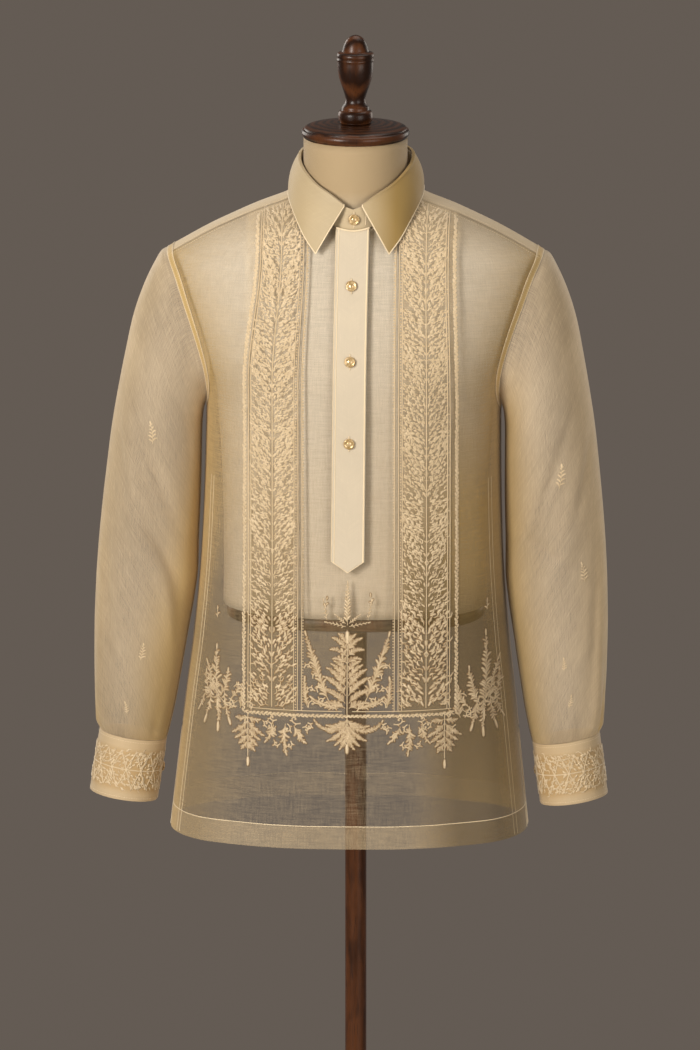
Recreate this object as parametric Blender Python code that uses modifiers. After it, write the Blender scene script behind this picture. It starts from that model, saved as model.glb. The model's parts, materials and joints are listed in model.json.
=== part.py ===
"""Barong tagalog shirt, buttoned up on a half-torso dress form with a round base.

Metres, +Z up. The front of the shirt faces -Y. The origin is the middle of the base's underside.
The cloth surfaces below are the outer faces; Solidify adds each wall on the inner side.
"""
from math import cos, pi, radians, sin

import bmesh
import bpy
import numpy as np
from mathutils import Vector

COLLECTION = "barong_on_dress_form"

# Walls and gaps
SHEER_WALL = 0.0012
COLLAR_WALL = 0.0015
CUFF_WALL = 0.0018
SEAM_GAP = 0.0006
LAY_GAP = 0.0003

# Heights of the shirt
HEM_Z = 0.7241
VENT_TOP_Z = 0.8414
UNDERARM_Z = 1.2293
SHOULDER_Z = 1.4085
RIDGE_LOW_Z = 1.3532
NECK_BACK_Z = 1.4937
VENT_SPREAD = 0.0040

# The shirt hangs a little askew on the form: sideways shift for each metre of height
LEAN = 0.0105
LEAN_PIVOT_Z = 1.4400

# Body: level cuts. half_width is at the side seam, the armhole or the shoulder ridge. The rounded
# cut itself would close at front_width and back_width, which lie past the armhole's edge.
BODY = dict(zip(("z", "half_width", "front_width", "back_width", "front", "back"), np.array((
    (0.7241, 0.2092, 0.2092, 0.2092, 0.1450, 0.1400),
    (0.7992, 0.2013, 0.2013, 0.2013, 0.1430, 0.1360),
    (0.8896, 0.1916, 0.1916, 0.1916, 0.1380, 0.1280),
    (0.9498, 0.1844, 0.1844, 0.1844, 0.1330, 0.1200),
    (0.9999, 0.1798, 0.1798, 0.1798, 0.1270, 0.1130),
    (1.0500, 0.1762, 0.1762, 0.1762, 0.1225, 0.1085),
    (1.1000, 0.1740, 0.1740, 0.1740, 0.1205, 0.1075),
    (1.1599, 0.1724, 0.1724, 0.1724, 0.1210, 0.1100),
    (1.2293, 0.1716, 0.1716, 0.1716, 0.1230, 0.1140),
    (1.2477, 0.1700, 0.1740, 0.1760, 0.1235, 0.1150),
    (1.2730, 0.1725, 0.1850, 0.1900, 0.1230, 0.1165),
    (1.2991, 0.1790, 0.1985, 0.2070, 0.1205, 0.1170),
    (1.3274, 0.1880, 0.2110, 0.2210, 0.1160, 0.1160),
    (1.3532, 0.1972, 0.2200, 0.2300, 0.1105, 0.1135),
    (1.3811, 0.2070, 0.2255, 0.2320, 0.1020, 0.1090),
    (1.3989, 0.2150, 0.2245, 0.2270, 0.0955, 0.1045),
    (1.4085, 0.2195, 0.2195, 0.2195, 0.0920, 0.1020),
    (1.4360, 0.1710, 0.1710, 0.1710, 0.0835, 0.0905),
    (1.4461, 0.1500, 0.1500, 0.1500, 0.0800, 0.0870),
    (1.4583, 0.1235, 0.1235, 0.1235, 0.0660, 0.0805),
    (1.4774, 0.0775, 0.0775, 0.0775, 0.0485, 0.0715),
    (1.4838, 0.0720, 0.0720, 0.0720, 0.0400, 0.0660),
    (1.4937, 0.0640, 0.0640, 0.0640, 0.0300, 0.0640),
)).T))
HEM_POWER = 2.4
CHEST_POWER = 2.3

# Armhole
ARMHOLE_STEP = pi / 11
YOKE_FRONT_STEPS = 10
YOKE_BACK_STEPS = 9
YOKE_NECK_SHARE = 0.55

# Neckline seen from above
NECK_HALF_WIDTH = 0.072
NECK_FRONT = 0.080
NECK_BACK = 0.064

# Collar: the fold line by angle from centre front, and the leaf's outer edge beside it
COLLAR = dict(zip(("angle", "fold_z", "edge_x", "edge_y", "edge_z"), np.array((
    (9.0, 1.4773, 0.0427, -0.0915, 1.4210),
    (24.0, 1.4883, 0.0560, -0.0840, 1.4391),
    (40.0, 1.4967, 0.0668, -0.0665, 1.4575),
    (60.0, 1.5081, 0.0768, -0.0330, 1.4744),
    (80.0, 1.5175, 0.0790, -0.0080, 1.4783),
    (100.0, 1.5239, 0.0785, 0.0160, 1.4818),
    (130.0, 1.5279, 0.0640, 0.0520, 1.4853),
    (155.0, 1.5291, 0.0360, 0.0725, 1.4863),
    (180.0, 1.5294, 0.0000, 0.0785, 1.4868),
)).T))
FOLD_HALF_WIDTH = 0.0655
FOLD_FRONT = 0.0785
FOLD_BACK = 0.0590
STAND_FRONT_Z = 1.4739
ROLL = 0.0032
STAND_DROP = 0.0011
LEAF_BULGE = 0.0035
LEAF_CLEAR = 0.0016

# Placket and buttons
PLACKET_HALF_WIDTH = 0.0192
PLACKET_CORNER_Z = 1.0630
PLACKET_TIP_Z = 1.0495
PLACKET_GAP = 0.0014
BUTTON_RADIUS = 0.0064
BUTTON_THICKNESS = 0.0026
FRONT_BUTTONS_Z = (1.3842, 1.2990, 1.2030)
STAND_BUTTON = (0.0012, 1.4592)

# Sleeve rings, from the armhole down: where each meets the outer and the inner outline
SLEEVE = dict(zip(("outer_x", "outer_z", "inner_x", "inner_z", "middle_y", "front", "back"), np.array((
    (0.2195, 1.4085, 0.1716, 1.2293, 0.000, 0.0620, 0.0700),
    (0.2262, 1.4052, 0.1735, 1.2258, 0.000, 0.0630, 0.0712),
    (0.2361, 1.3888, 0.1752, 1.2198, 0.000, 0.0655, 0.0735),
    (0.2492, 1.3591, 0.1765, 1.2108, 0.000, 0.0685, 0.0755),
    (0.2594, 1.3264, 0.1772, 1.1989, 0.000, 0.0705, 0.0765),
    (0.2676, 1.2866, 0.1775, 1.1819, -0.001, 0.0715, 0.0755),
    (0.2753, 1.2448, 0.1777, 1.1599, -0.002, 0.0710, 0.0735),
    (0.2825, 1.1999, 0.1780, 1.1320, -0.003, 0.0680, 0.0690),
    (0.2885, 1.1482, 0.1788, 1.1000, -0.004, 0.0635, 0.0640),
    (0.2936, 1.0990, 0.1800, 1.0650, -0.005, 0.0590, 0.0590),
    (0.2972, 1.0550, 0.1803, 1.0320, -0.007, 0.0560, 0.0560),
    (0.2995, 1.0110, 0.1842, 0.9969, -0.010, 0.0540, 0.0540),
    (0.3006, 0.9639, 0.1914, 0.9528, -0.013, 0.0510, 0.0510),
    (0.3002, 0.9197, 0.1985, 0.9087, -0.017, 0.0480, 0.0480),
    (0.2985, 0.8806, 0.2055, 0.8685, -0.020, 0.0450, 0.0450),
    (0.2955, 0.8525, 0.2118, 0.8404, -0.023, 0.0415, 0.0415),
    (0.2930, 0.8414, 0.2148, 0.8293, -0.024, 0.0385, 0.0385),
)).T))
SLEEVE_SIDES = 22
ARMHOLE_FADE_RINGS = 4.0
CUFF_DROP = (0.0103, -0.0050, -0.0720)
CUFF_END_SCALE = 1.010
CUFF_BUTTON_ANGLE = 200.0

# Largest folds: place across and along, reach each way, height (below 0 is a trough) and lean
BODY_FOLDS = (
    # side, x, z, width, length, height, lean in degrees
    (-1, 0.168, 0.800, 0.016, 0.090, 0.0045, 4.0),
    (-1, 0.128, 0.790, 0.020, 0.070, -0.0030, 2.0),
    (-1, -0.165, 0.790, 0.016, 0.100, 0.0040, -4.0),
    (-1, -0.122, 0.800, 0.021, 0.065, -0.0035, -2.0),
    (1, 0.000, 0.830, 0.022, 0.130, -0.0050, 0.0),
    (1, 0.062, 0.810, 0.024, 0.110, 0.0055, 3.0),
    (1, -0.068, 0.820, 0.024, 0.120, 0.0050, -3.0),
    (1, 0.128, 0.800, 0.020, 0.090, -0.0040, 5.0),
    (1, -0.132, 0.810, 0.020, 0.095, -0.0045, -5.0),
    (1, 0.110, 1.300, 0.018, 0.045, 0.0040, 28.0),
    (1, -0.112, 1.295, 0.018, 0.050, 0.0035, -30.0),
)
SLEEVE_FOLDS = (
    # side, angle in degrees from the outer line towards the front, ring, angle and ring reach, height, twist
    (-1, 75.0, 8.6, 16.0, 1.5, -0.0050, 14.0),
    (-1, 112.0, 9.6, 15.0, 1.3, 0.0040, 16.0),
    (-1, 30.0, 14.6, 12.0, 1.7, -0.0045, 0.0),
    (-1, 290.0, 9.2, 18.0, 1.4, -0.0050, -14.0),
    (1, 68.0, 8.9, 15.0, 1.6, -0.0045, 15.0),
    (1, 104.0, 9.8, 16.0, 1.2, 0.0045, 13.0),
    (1, 36.0, 14.4, 13.0, 1.9, -0.0055, 0.0),
    (1, 284.0, 9.5, 18.0, 1.3, -0.0045, -12.0),
)

# Dress form. The insets are from the shirt's outer face.
FORM = dict(zip(("z", "side_inset", "front_inset", "back_inset"), np.array((
    (0.9920, 0.0255, 0.0100, 0.0095),
    (1.0600, 0.0215, 0.0075, 0.0075),
    (1.1500, 0.0165, 0.0065, 0.0070),
    (1.2295, 0.0105, 0.0060, 0.0060),
    (1.3000, 0.0065, 0.0050, 0.0055),
    (1.3820, 0.0052, 0.0050, 0.0050),
    (1.4096, 0.0046, 0.0050, 0.0050),
    (1.4300, 0.0048, 0.0060, 0.0048),
    (1.4475, 0.0051, 0.0070, 0.0056),
    (1.4791, 0.0062, 0.0068, 0.0066),
    (1.4955, 0.0052, 0.0060, 0.0060),
)).T))
FORM_ARM_CLEAR = 0.0080
FORM_SHOULDER_Z = 1.3600
FORM_ROUNDER = 0.22
FORM_SIDES = 36
NECK_RADIUS = 0.0605
NECK_MIDDLE_Y = -0.0085
NECK_TOP_Z = 1.5428
NECK_BLEND = 40.0

# Turned wood and stand, as (radius, height) from the top down
FINIAL = (
    (0.0000, 1.6644), (0.0062, 1.6638), (0.0112, 1.6609), (0.0145, 1.6563), (0.0155, 1.6511),
    (0.0158, 1.6466), (0.0200, 1.6448), (0.0216, 1.6417), (0.0205, 1.6382), (0.0188, 1.6367),
    (0.0188, 1.6346), (0.0207, 1.6318), (0.0208, 1.6249), (0.0196, 1.6140), (0.0166, 1.6031),
    (0.0128, 1.5932), (0.0118, 1.5888), (0.0138, 1.5853), (0.0142, 1.5819), (0.0126, 1.5779),
    (0.0150, 1.5759), (0.0195, 1.5744), (0.0203, 1.5715), (0.0195, 1.5680), (0.0176, 1.5665),
    (0.0176, 1.5630), (0.0190, 1.5604), (0.0000, 1.5604),
)
NECK_CAP = (
    (0.0000, 1.5600), (0.0240, 1.5598), (0.0430, 1.5588), (0.0560, 1.5568), (0.0596, 1.5548),
    (0.0596, 1.5536), (0.0622, 1.5525), (0.0630, 1.5497), (0.0624, 1.5469), (0.0604, 1.5451),
    (0.0604, 1.5439), (0.0590, 1.5430), (0.0000, 1.5430),
)
PLATE_TOP_Z = 0.9917
PLATE_THICKNESS = 0.0160
PLATE_INSET = 0.0040
POLE = (
    (0.0000, 0.9754), (0.0400, 0.9754), (0.0410, 0.9744), (0.0410, 0.9704), (0.0400, 0.9694),
    (0.0180, 0.9684), (0.0150, 0.9654), (0.0125, 0.9604), (0.0125, 0.0700), (0.0170, 0.0660),
    (0.0190, 0.0600), (0.0190, 0.0440), (0.0230, 0.0400), (0.0230, 0.0303), (0.0000, 0.0303),
)
BASE = (
    (0.0000, 0.0300), (0.0600, 0.0292), (0.1100, 0.0262), (0.1560, 0.0206), (0.1740, 0.0176),
    (0.1760, 0.0160), (0.1790, 0.0156), (0.1820, 0.0132), (0.1825, 0.0100), (0.1800, 0.0040),
    (0.1760, 0.0000), (0.0000, 0.0000),
)
TURNED_SIDES = 22
BUTTON_SIDES = 14


def smooth(xs, ys, x):
    """Cubic through a table's rows that never overshoots between two of them."""
    x = np.clip(np.asarray(x, float), xs[0], xs[-1])
    width = np.diff(xs)
    slope = np.diff(ys) / width
    tangent = np.concatenate(([slope[0]], np.zeros(len(xs) - 2), [slope[-1]]))
    product = slope[:-1] * slope[1:]
    total = np.where(product > 0, slope[:-1] + slope[1:], 1.0)
    tangent[1:-1] = np.where(product > 0, 2 * product / total, 0.0)
    k = np.clip(np.searchsorted(xs, x, side="right") - 1, 0, len(width) - 1)
    t = (x - xs[k]) / width[k]
    start = (1 + 2 * t) * (1 - t) ** 2 * ys[k] + t * (1 - t) ** 2 * width[k] * tangent[k]
    end = t * t * (3 - 2 * t) * ys[k + 1] + t * t * (t - 1) * width[k] * tangent[k + 1]
    return start + end


def body(column, z):
    """A column of the body table. The half width turns a corner at the shoulder tip."""
    if column != "half_width":
        return smooth(BODY["z"], BODY[column], z)
    tip = int(np.searchsorted(BODY["z"], SHOULDER_Z))
    below = smooth(BODY["z"][:tip + 1], BODY[column][:tip + 1], z)
    above = smooth(BODY["z"][tip:], BODY[column][tip:], z)
    return np.where(z > SHOULDER_Z, above, below)


def power_at(z):
    return np.interp(z, (HEM_Z, UNDERARM_Z), (HEM_POWER, CHEST_POWER))


def half_axes(z, side):
    """Half width, depth and power of the rounded cut at a height, in front (-1) or behind (+1)."""
    name = "front" if side < 0 else "back"
    tip = int(np.searchsorted(BODY["z"], SHOULDER_Z))
    wide = smooth(BODY["z"], BODY[name + "_width"], z)
    ridge = smooth(BODY["z"][tip:], BODY["half_width"][tip:], z)
    return np.where(z > SHOULDER_Z, ridge, wide), body(name, z), power_at(z)


def armhole_depth(z, side):
    """How far in front of (side -1) or behind (+1) the shoulder the armhole runs at a height."""
    width, depth, power = half_axes(z, side)
    return depth * np.clip(1 - (body("half_width", z) / width) ** power, 0, 1) ** (1 / power)


def depth_at(x, z, side):
    width, depth, power = half_axes(z, side)
    return depth * np.clip(1 - np.abs(x / width) ** power, 0, 1) ** (1 / power)


def height_at(x, y, side):
    """Height of the shoulders over a place seen from above."""
    low = np.full(np.shape(x), RIDGE_LOW_Z)
    high = np.full(np.shape(x), NECK_BACK_Z)
    for _ in range(40):
        middle = (low + high) / 2
        width, depth, power = half_axes(middle, side)
        inside = np.abs(x / width) ** power + np.abs(y / depth) ** power < 1
        low = np.where(inside, middle, low)
        high = np.where(inside, high, middle)
    return (low + high) / 2


def neckline(angle):
    """Plan of the neckline, by angle in degrees from centre front towards +X."""
    a = np.radians(angle)
    y = -np.cos(a) * np.where(np.cos(a) > 0, NECK_FRONT, NECK_BACK)
    x = NECK_HALF_WIDTH * np.sin(a)
    return x, y


def neckline_z(angle):
    x, y = neckline(angle)
    return np.where(y < 0, height_at(x, y, -1), height_at(x, y, 1))


def normals(grid, closed=False):
    """Unit normals of a grid whose rows run up and whose columns run towards +X on the front."""
    if closed:
        across = np.roll(grid, -1, axis=1) - np.roll(grid, 1, axis=1)
    else:
        across = np.gradient(grid, axis=1)
    n = np.cross(across, np.gradient(grid, axis=0))
    return n / np.maximum(np.linalg.norm(n, axis=2, keepdims=True), 1e-12)


def body_folds(grid, side):
    """Moves a body grid out and in by the long soft folds of that side."""
    x, z = grid[..., 0], grid[..., 2]
    lift = np.zeros(x.shape)
    for fold_side, fx, fz, width, length, height, lean in BODY_FOLDS:
        if fold_side != side:
            continue
        turn = radians(lean)
        across = (x - fx) * cos(turn) + (z - fz) * sin(turn)
        along = (z - fz) * cos(turn) - (x - fx) * sin(turn)
        lift += height * np.exp(-(across / width) ** 2 - (along / length) ** 2)
    outward = normals(grid) * (1 if side < 0 else -1)
    edge = np.clip((body("half_width", z) - np.abs(x)) / 0.02, 0, 1)
    return grid + outward * (lift * edge)[..., None]


# ---- grids of the cloth's outer faces ----

def seam_angle():
    """Angle from centre front at which the yoke's front seam meets the neckline."""
    depth = float(armhole_depth(armhole_heights(YOKE_FRONT_STEPS)[-1], -1))
    return float(np.degrees(np.arccos(depth / NECK_FRONT)))


def neck_share():
    """Part of the front's half width that ends on the neckline."""
    corner_x = float(body("half_width", armhole_heights(YOKE_FRONT_STEPS)[-1]))
    return NECK_HALF_WIDTH * sin(radians(seam_angle())) / corner_x


def panel_columns(inner, outer):
    """Columns from side to side: even ones under the neck, closer ones towards the side seams."""
    share = neck_share()
    middle = np.linspace(-share, share, 2 * inner + 1)
    side = share + (1 - share) * np.sin(pi / 2 * np.arange(1, outer + 1) / outer)
    return np.concatenate((-side[::-1], middle, side))


def low_rows(count):
    return np.linspace(HEM_Z, UNDERARM_Z, count)


def armhole_heights(steps):
    middle = (SHOULDER_Z + UNDERARM_Z) / 2
    return middle + (SHOULDER_Z - UNDERARM_Z) / 2 * np.sin(-pi / 2 + ARMHOLE_STEP * np.arange(1, steps + 1))


def front_top(u):
    """Neckline, then the yoke seam, over the front's columns: x, y and z."""
    corner_z = armhole_heights(YOKE_FRONT_STEPS)[-1]
    corner_x = float(body("half_width", corner_z))
    seam_y = -float(armhole_depth(corner_z, -1))
    split = neck_share()
    neck_x = split * corner_x
    on_neck = np.abs(u) < split
    nx, ny = neckline(seam_angle() * np.clip(u / split, -1, 1))
    slide = np.clip((np.abs(u) - split) / (1 - split), 0, 1)
    x = np.where(on_neck, nx, np.sign(u) * (neck_x + (corner_x - neck_x) * slide))
    y = np.where(on_neck, ny, seam_y)
    z = np.where(slide < 1, height_at(x, y, -1), corner_z)
    return x, y, z


def back_top(u):
    corner_z = armhole_heights(YOKE_BACK_STEPS)[-1]
    x = u * body("half_width", corner_z)
    return x, depth_at(x, corner_z, 1), np.full(u.shape, corner_z)


def panel(u, side, top, steps, rows_low):
    """Front or back: level rows up to the underarm, then rows that end on the top seam."""
    top_x, top_y, top_z = top(u)
    edge_z = armhole_heights(steps)
    edge_x = body("half_width", edge_z)
    underarm = float(body("half_width", UNDERARM_Z))
    rows = []
    for z in low_rows(rows_low):
        x = u * body("half_width", z)
        rows.append((x, side * depth_at(x, z, side), np.full(u.shape, z)))
    for k in range(steps):
        part = (edge_z[k] - UNDERARM_Z) / (edge_z[-1] - UNDERARM_Z)
        sideways = (edge_x[k] - underarm) / (edge_x[-1] - underarm)
        x = u * underarm + (top_x - u * underarm) * (part + (sideways - part) * np.abs(u) ** 6)
        z = UNDERARM_Z + (top_z - UNDERARM_Z) * part
        rows.append((x, side * depth_at(x, z, side), z))
    rows[-1] = (top_x, side * np.abs(top_y), top_z)
    grid = np.array(rows).transpose(0, 2, 1)
    grid = body_folds(grid, side)
    vent = np.clip((VENT_TOP_Z - grid[..., 2]) / (VENT_TOP_Z - HEM_Z), 0, 1)
    grid[..., 1] += side * (SEAM_GAP / 2 + VENT_SPREAD * vent * np.abs(u) ** 8)
    grid[-1, :, 1:] += np.stack((np.full(u.shape, side * SEAM_GAP / 4), np.full(u.shape, -SEAM_GAP / 4)), 1)
    return grid


def yoke_grid(inner, outer, rows):
    """From the front seams over the ridge, and from the back neckline, to the back seam."""
    split = YOKE_NECK_SHARE
    middle = np.linspace(-split, split, 2 * inner + 1)
    side = np.linspace(split, 1, outer + 1)[1:]
    c = np.concatenate((-side[::-1], middle, side))
    _, seam_y, _ = front_top(np.array([1.0]))
    corner = float(body("half_width", armhole_heights(YOKE_FRONT_STEPS)[-1]))
    neck_x = neck_share() * corner
    nx, ny = neckline(180 - (180 - seam_angle()) * np.clip(np.abs(c) / split, 0, 1))
    slide = np.clip((np.abs(c) - split) / (1 - split), 0, 1)
    start_x = np.where(slide > 0, neck_x + (corner - neck_x) * slide, nx)
    start_y = np.where(slide > 0, seam_y[0], ny)
    start_y = start_y + SEAM_GAP * (start_y <= seam_y[0] + 1e-9)
    end_x, end_y, end_z = back_top(np.abs(c))
    grid = []
    for t in np.linspace(0, 1, rows):
        x = start_x + (end_x - start_x) * t
        y = start_y + (end_y - start_y) * t
        edge = np.isclose(np.abs(c), 1)
        x = np.where(edge, arm_edge_x(y), x)
        z = np.where(y < 0, height_at(x, y, -1), height_at(x, y, 1))
        z = np.where(edge, arm_edge_z(y), z)
        z = end_z + SEAM_GAP if t == 1 else z
        grid.append(np.stack((x * np.where(c < 0, -1, 1), y, z), 1))
    return np.array(grid)


def arm_edge_z(y):
    """Height of the armhole's upper part at a depth."""
    z = np.linspace(1.36, SHOULDER_Z, 120)
    front = np.interp(-y, armhole_depth(z, -1)[::-1], z[::-1])
    back = np.interp(y, armhole_depth(z, 1)[::-1], z[::-1])
    return np.where(y < 0, front, back)


def arm_edge_x(y):
    return body("half_width", arm_edge_z(y))


def sleeve_column(name, ring):
    return smooth(np.arange(len(SLEEVE[name]), dtype=float), SLEEVE[name], ring)


def sleeve_grid(side, rings, sides):
    """Rings from the armhole (row 0) to the cuff; columns start at the outer line, front first."""
    angle = np.linspace(0, 2 * pi, sides, endpoint=False)
    s = np.cos(angle)
    rows = []
    for ring in rings:
        outer = np.array((sleeve_column("outer_x", ring), sleeve_column("outer_z", ring)))
        inner = np.array((sleeve_column("inner_x", ring), sleeve_column("inner_z", ring)))
        fade = np.clip(1 - ring / ARMHOLE_FADE_RINGS, 0, 1)
        hole_z = (SHOULDER_Z + UNDERARM_Z) / 2 + (SHOULDER_Z - UNDERARM_Z) / 2 * s
        front = np.sin(angle) > 0
        depth = np.where(front, -sleeve_column("front", ring), sleeve_column("back", ring))
        hole = np.where(front, armhole_depth(hole_z, -1) / SLEEVE["front"][0],
                        armhole_depth(hole_z, 1) / SLEEVE["back"][0])
        across = np.abs(np.sin(angle)) * (1 - fade) + hole * fade
        xz = (outer + inner)[:, None] / 2 + (outer - inner)[:, None] / 2 * s
        low_x, high_x = body("half_width", UNDERARM_Z), body("half_width", SHOULDER_Z)
        straight = low_x + (high_x - low_x) * (s + 1) / 2
        x = xz[0] + (body("half_width", hole_z) - straight) * fade + SEAM_GAP * (ring == 0)
        y = sleeve_column("middle_y", ring) + depth * across
        rows.append(np.stack((x, y, xz[1]), 1))
    grid = np.array(rows)
    grid = grid + sleeve_normals(grid) * sleeve_fold_lift(side, rings, angle)[..., None]
    grid[..., 0] *= side
    return grid


def sleeve_normals(grid):
    n = np.cross(np.roll(grid, -1, axis=1) - np.roll(grid, 1, axis=1), np.gradient(grid, axis=0))
    return -n / np.maximum(np.linalg.norm(n, axis=2, keepdims=True), 1e-12)


def sleeve_fold_lift(side, rings, angle):
    ring = np.asarray(rings, float)[:, None]
    degrees = np.degrees(angle)[None, :]
    lift = np.zeros((len(rings), len(angle)))
    for fold_side, place, middle, reach, length, height, twist in SLEEVE_FOLDS:
        if fold_side != side:
            continue
        off = (degrees - place - twist * (ring - middle) + 180) % 360 - 180
        lift += height * np.exp(-(off / reach) ** 2 - ((ring - middle) / length) ** 2)
    held = np.clip(ring / 2, 0, 1) * np.clip(len(SLEEVE["front"]) - 1 - ring, 0, 1)
    return lift * held


def cuff_grid(side, rows, sides):
    """Band that goes on from the sleeve's last ring, along the lower arm."""
    last = len(SLEEVE["front"]) - 1
    ring = sleeve_grid(1, (last - 1, last), sides)[-1]
    middle = ring.mean(axis=0)
    drop = np.array(CUFF_DROP)
    start = drop / np.linalg.norm(drop) * SEAM_GAP
    grid = []
    for t in np.linspace(0, 1, rows):
        scale = 1 + (CUFF_END_SCALE - 1) * t
        grid.append(middle + (ring - middle) * scale + start + drop * t)
    grid = np.array(grid)
    grid[..., 0] *= side
    return grid


def fold_line(angle):
    """Plan of the collar's fold line, by angle in degrees from centre front."""
    a = np.radians(angle)
    y = -np.cos(a) * np.where(np.cos(a) > 0, FOLD_FRONT, FOLD_BACK)
    return FOLD_HALF_WIDTH * np.sin(a), y


def fold_z(angle):
    """Height of the fold, the same on both sides, falling to the stand's top at centre front."""
    a = np.abs((np.asarray(angle, float) + 180) % 360 - 180)
    first = COLLAR["angle"][0]
    rise = smooth(COLLAR["angle"], COLLAR["fold_z"], a)
    return np.where(a < first, STAND_FRONT_Z + (COLLAR["fold_z"][0] - STAND_FRONT_Z) * a / first, rise)


def stand_grid(rows, front_sides, back_sides):
    """Ring from the neckline up to just under the fold, divided as the neckline's edges are."""
    corner = seam_angle()
    front = np.linspace(-corner, corner, front_sides, endpoint=False)
    back = np.linspace(corner, 360 - corner, back_sides, endpoint=False)
    angle = np.concatenate((front, back))
    low_x, low_y = neckline(angle)
    low_z = neckline_z(angle) + SEAM_GAP
    top_x, top_y = fold_line(angle)
    top_z = fold_z(angle) - COLLAR_WALL - LAY_GAP - STAND_DROP
    grid = []
    for t in np.linspace(0, 1, rows):
        ease = t * t * (3 - 2 * t) * 0.4 + t * 0.6
        grid.append(np.stack((low_x + (top_x - low_x) * ease, low_y + (top_y - low_y) * ease,
                              low_z + (top_z - low_z) * t), 1))
    return np.array(grid)


def leaf_grid(columns, rows):
    """Collar leaf: a small roll over the stand, then a slightly bowed fall to its edge."""
    first = COLLAR["angle"][0]
    angle = first + (360 - 2 * first) * np.linspace(0, 1, columns)
    mirrored = np.where(angle > 180, 360 - angle, angle)
    hand = np.where(angle > 180, -1.0, 1.0)
    fx, fy = fold_line(mirrored)
    fz = fold_z(mirrored)
    ex = smooth(COLLAR["angle"], COLLAR["edge_x"], mirrored)
    ey = smooth(COLLAR["angle"], COLLAR["edge_y"], mirrored)
    ez = smooth(COLLAR["angle"], COLLAR["edge_z"], mirrored)
    inward = 1 - 1.4 * COLLAR_WALL / np.hypot(ex, ey)
    floor = np.where(ey < 0, height_at(ex * inward, ey * inward, -1), height_at(ex * inward, ey * inward, 1))
    floor = floor + LEAF_CLEAR
    ez = np.where(np.hypot(ex / NECK_HALF_WIDTH, ey / NECK_FRONT) > 1, np.maximum(ez, floor), ez)
    out = np.stack((fx / FOLD_HALF_WIDTH ** 2, fy / FOLD_FRONT ** 2), 1)
    out = out / np.linalg.norm(out, axis=1, keepdims=True)
    half_wall = COLLAR_WALL / 2
    fold = np.stack((fx, fy, fz), 1)
    start = fold - np.column_stack((out * half_wall, np.zeros(columns)))
    shoulder = fold + np.column_stack((out * (ROLL - 0.0008), np.full(columns, -0.0005)))
    side_of_roll = fold + np.column_stack((out * ROLL, np.full(columns, -0.0026)))
    edge = np.stack((ex, ey, ez), 1)
    grid = [start, shoulder, side_of_roll]
    for t in np.linspace(0, 1, rows)[1:]:
        bow = np.column_stack((out * (LEAF_BULGE * 4 * t * (1 - t)), np.zeros(columns)))
        grid.append(side_of_roll + (edge - side_of_roll) * t + bow)
    grid = np.array(grid)
    grid[..., 0] *= hand
    return grid


def placket_grid(front, columns, rows):
    """Strip on the front, moved out from the front's own points, with a pointed end."""
    across = np.linspace(-PLACKET_HALF_WIDTH, PLACKET_HALF_WIDTH, columns)
    neck_y = -NECK_FRONT * np.sqrt(1 - (across / NECK_HALF_WIDTH) ** 2)
    top_z = height_at(across, neck_y, -1) - 2 * SEAM_GAP
    slope = (PLACKET_CORNER_Z - PLACKET_TIP_Z) / PLACKET_HALF_WIDTH
    low_z = PLACKET_TIP_Z + np.abs(across) * slope
    grid = []
    for t in np.linspace(0, 1, rows):
        z = low_z + (top_z - low_z) * t
        grid.append(np.stack((across, on_front(front, across, z), z), 1))
    grid = np.array(grid)
    return grid + normals(grid) * (SHEER_WALL + PLACKET_GAP)


def on_front(front, x, z):
    """Depth of the front panel's own surface at a place seen from the front."""
    y = []
    for px, pz in zip(x, z):
        row_y = [np.interp(px, row[:, 0], row[:, 1]) for row in front]
        row_z = [np.interp(px, row[:, 0], row[:, 2]) for row in front]
        y.append(np.interp(pz, row_z, row_y))
    return np.array(y)


def leaned(grid):
    """The same points after the shirt's slight sideways hang."""
    moved = np.array(grid, dtype=float)
    moved[..., 0] += LEAN * (moved[..., 2] - LEAN_PIVOT_Z)
    return moved


# ---- making objects ----

def clear_scene():
    for item in list(bpy.data.objects):
        bpy.data.objects.remove(item, do_unlink=True)


def material(name, colour, roughness, metallic=0.0):
    made = bpy.data.materials.new(name)
    made.use_nodes = True
    shader = made.node_tree.nodes["Principled BSDF"]
    shader.inputs["Base Color"].default_value = (*colour, 1.0)
    shader.inputs["Roughness"].default_value = roughness
    shader.inputs["Metallic"].default_value = metallic
    return made


def add_object(name, mesh, look, collection):
    made = bpy.data.objects.new(name, mesh)
    mesh.materials.append(look)
    collection.objects.link(made)
    return made


def grid_mesh(name, grid, closed, flip):
    """Open surface of a grid, each square split the same way."""
    rows, columns = grid.shape[:2]
    mesh = bmesh.new()
    verts = [[mesh.verts.new(point) for point in row] for row in grid]
    last = columns if closed else columns - 1
    for r in range(rows - 1):
        for c in range(last):
            d = (c + 1) % columns
            a, b, e, f = verts[r][c], verts[r][d], verts[r + 1][d], verts[r + 1][c]
            for face in ((a, b, e), (a, e, f)):
                made = mesh.faces.new(face[::-1] if flip else face)
                made.smooth = True
    data = bpy.data.meshes.new(name)
    mesh.to_mesh(data)
    mesh.free()
    return data


def cloth(name, grid, wall, look, collection, closed=False, flip=False):
    made = add_object(name, grid_mesh(name, leaned(grid), closed, flip), look, collection)
    shell = made.modifiers.new("wall", "SOLIDIFY")
    shell.thickness = wall
    shell.offset = -1.0
    shell.use_rim = True
    return made


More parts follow.
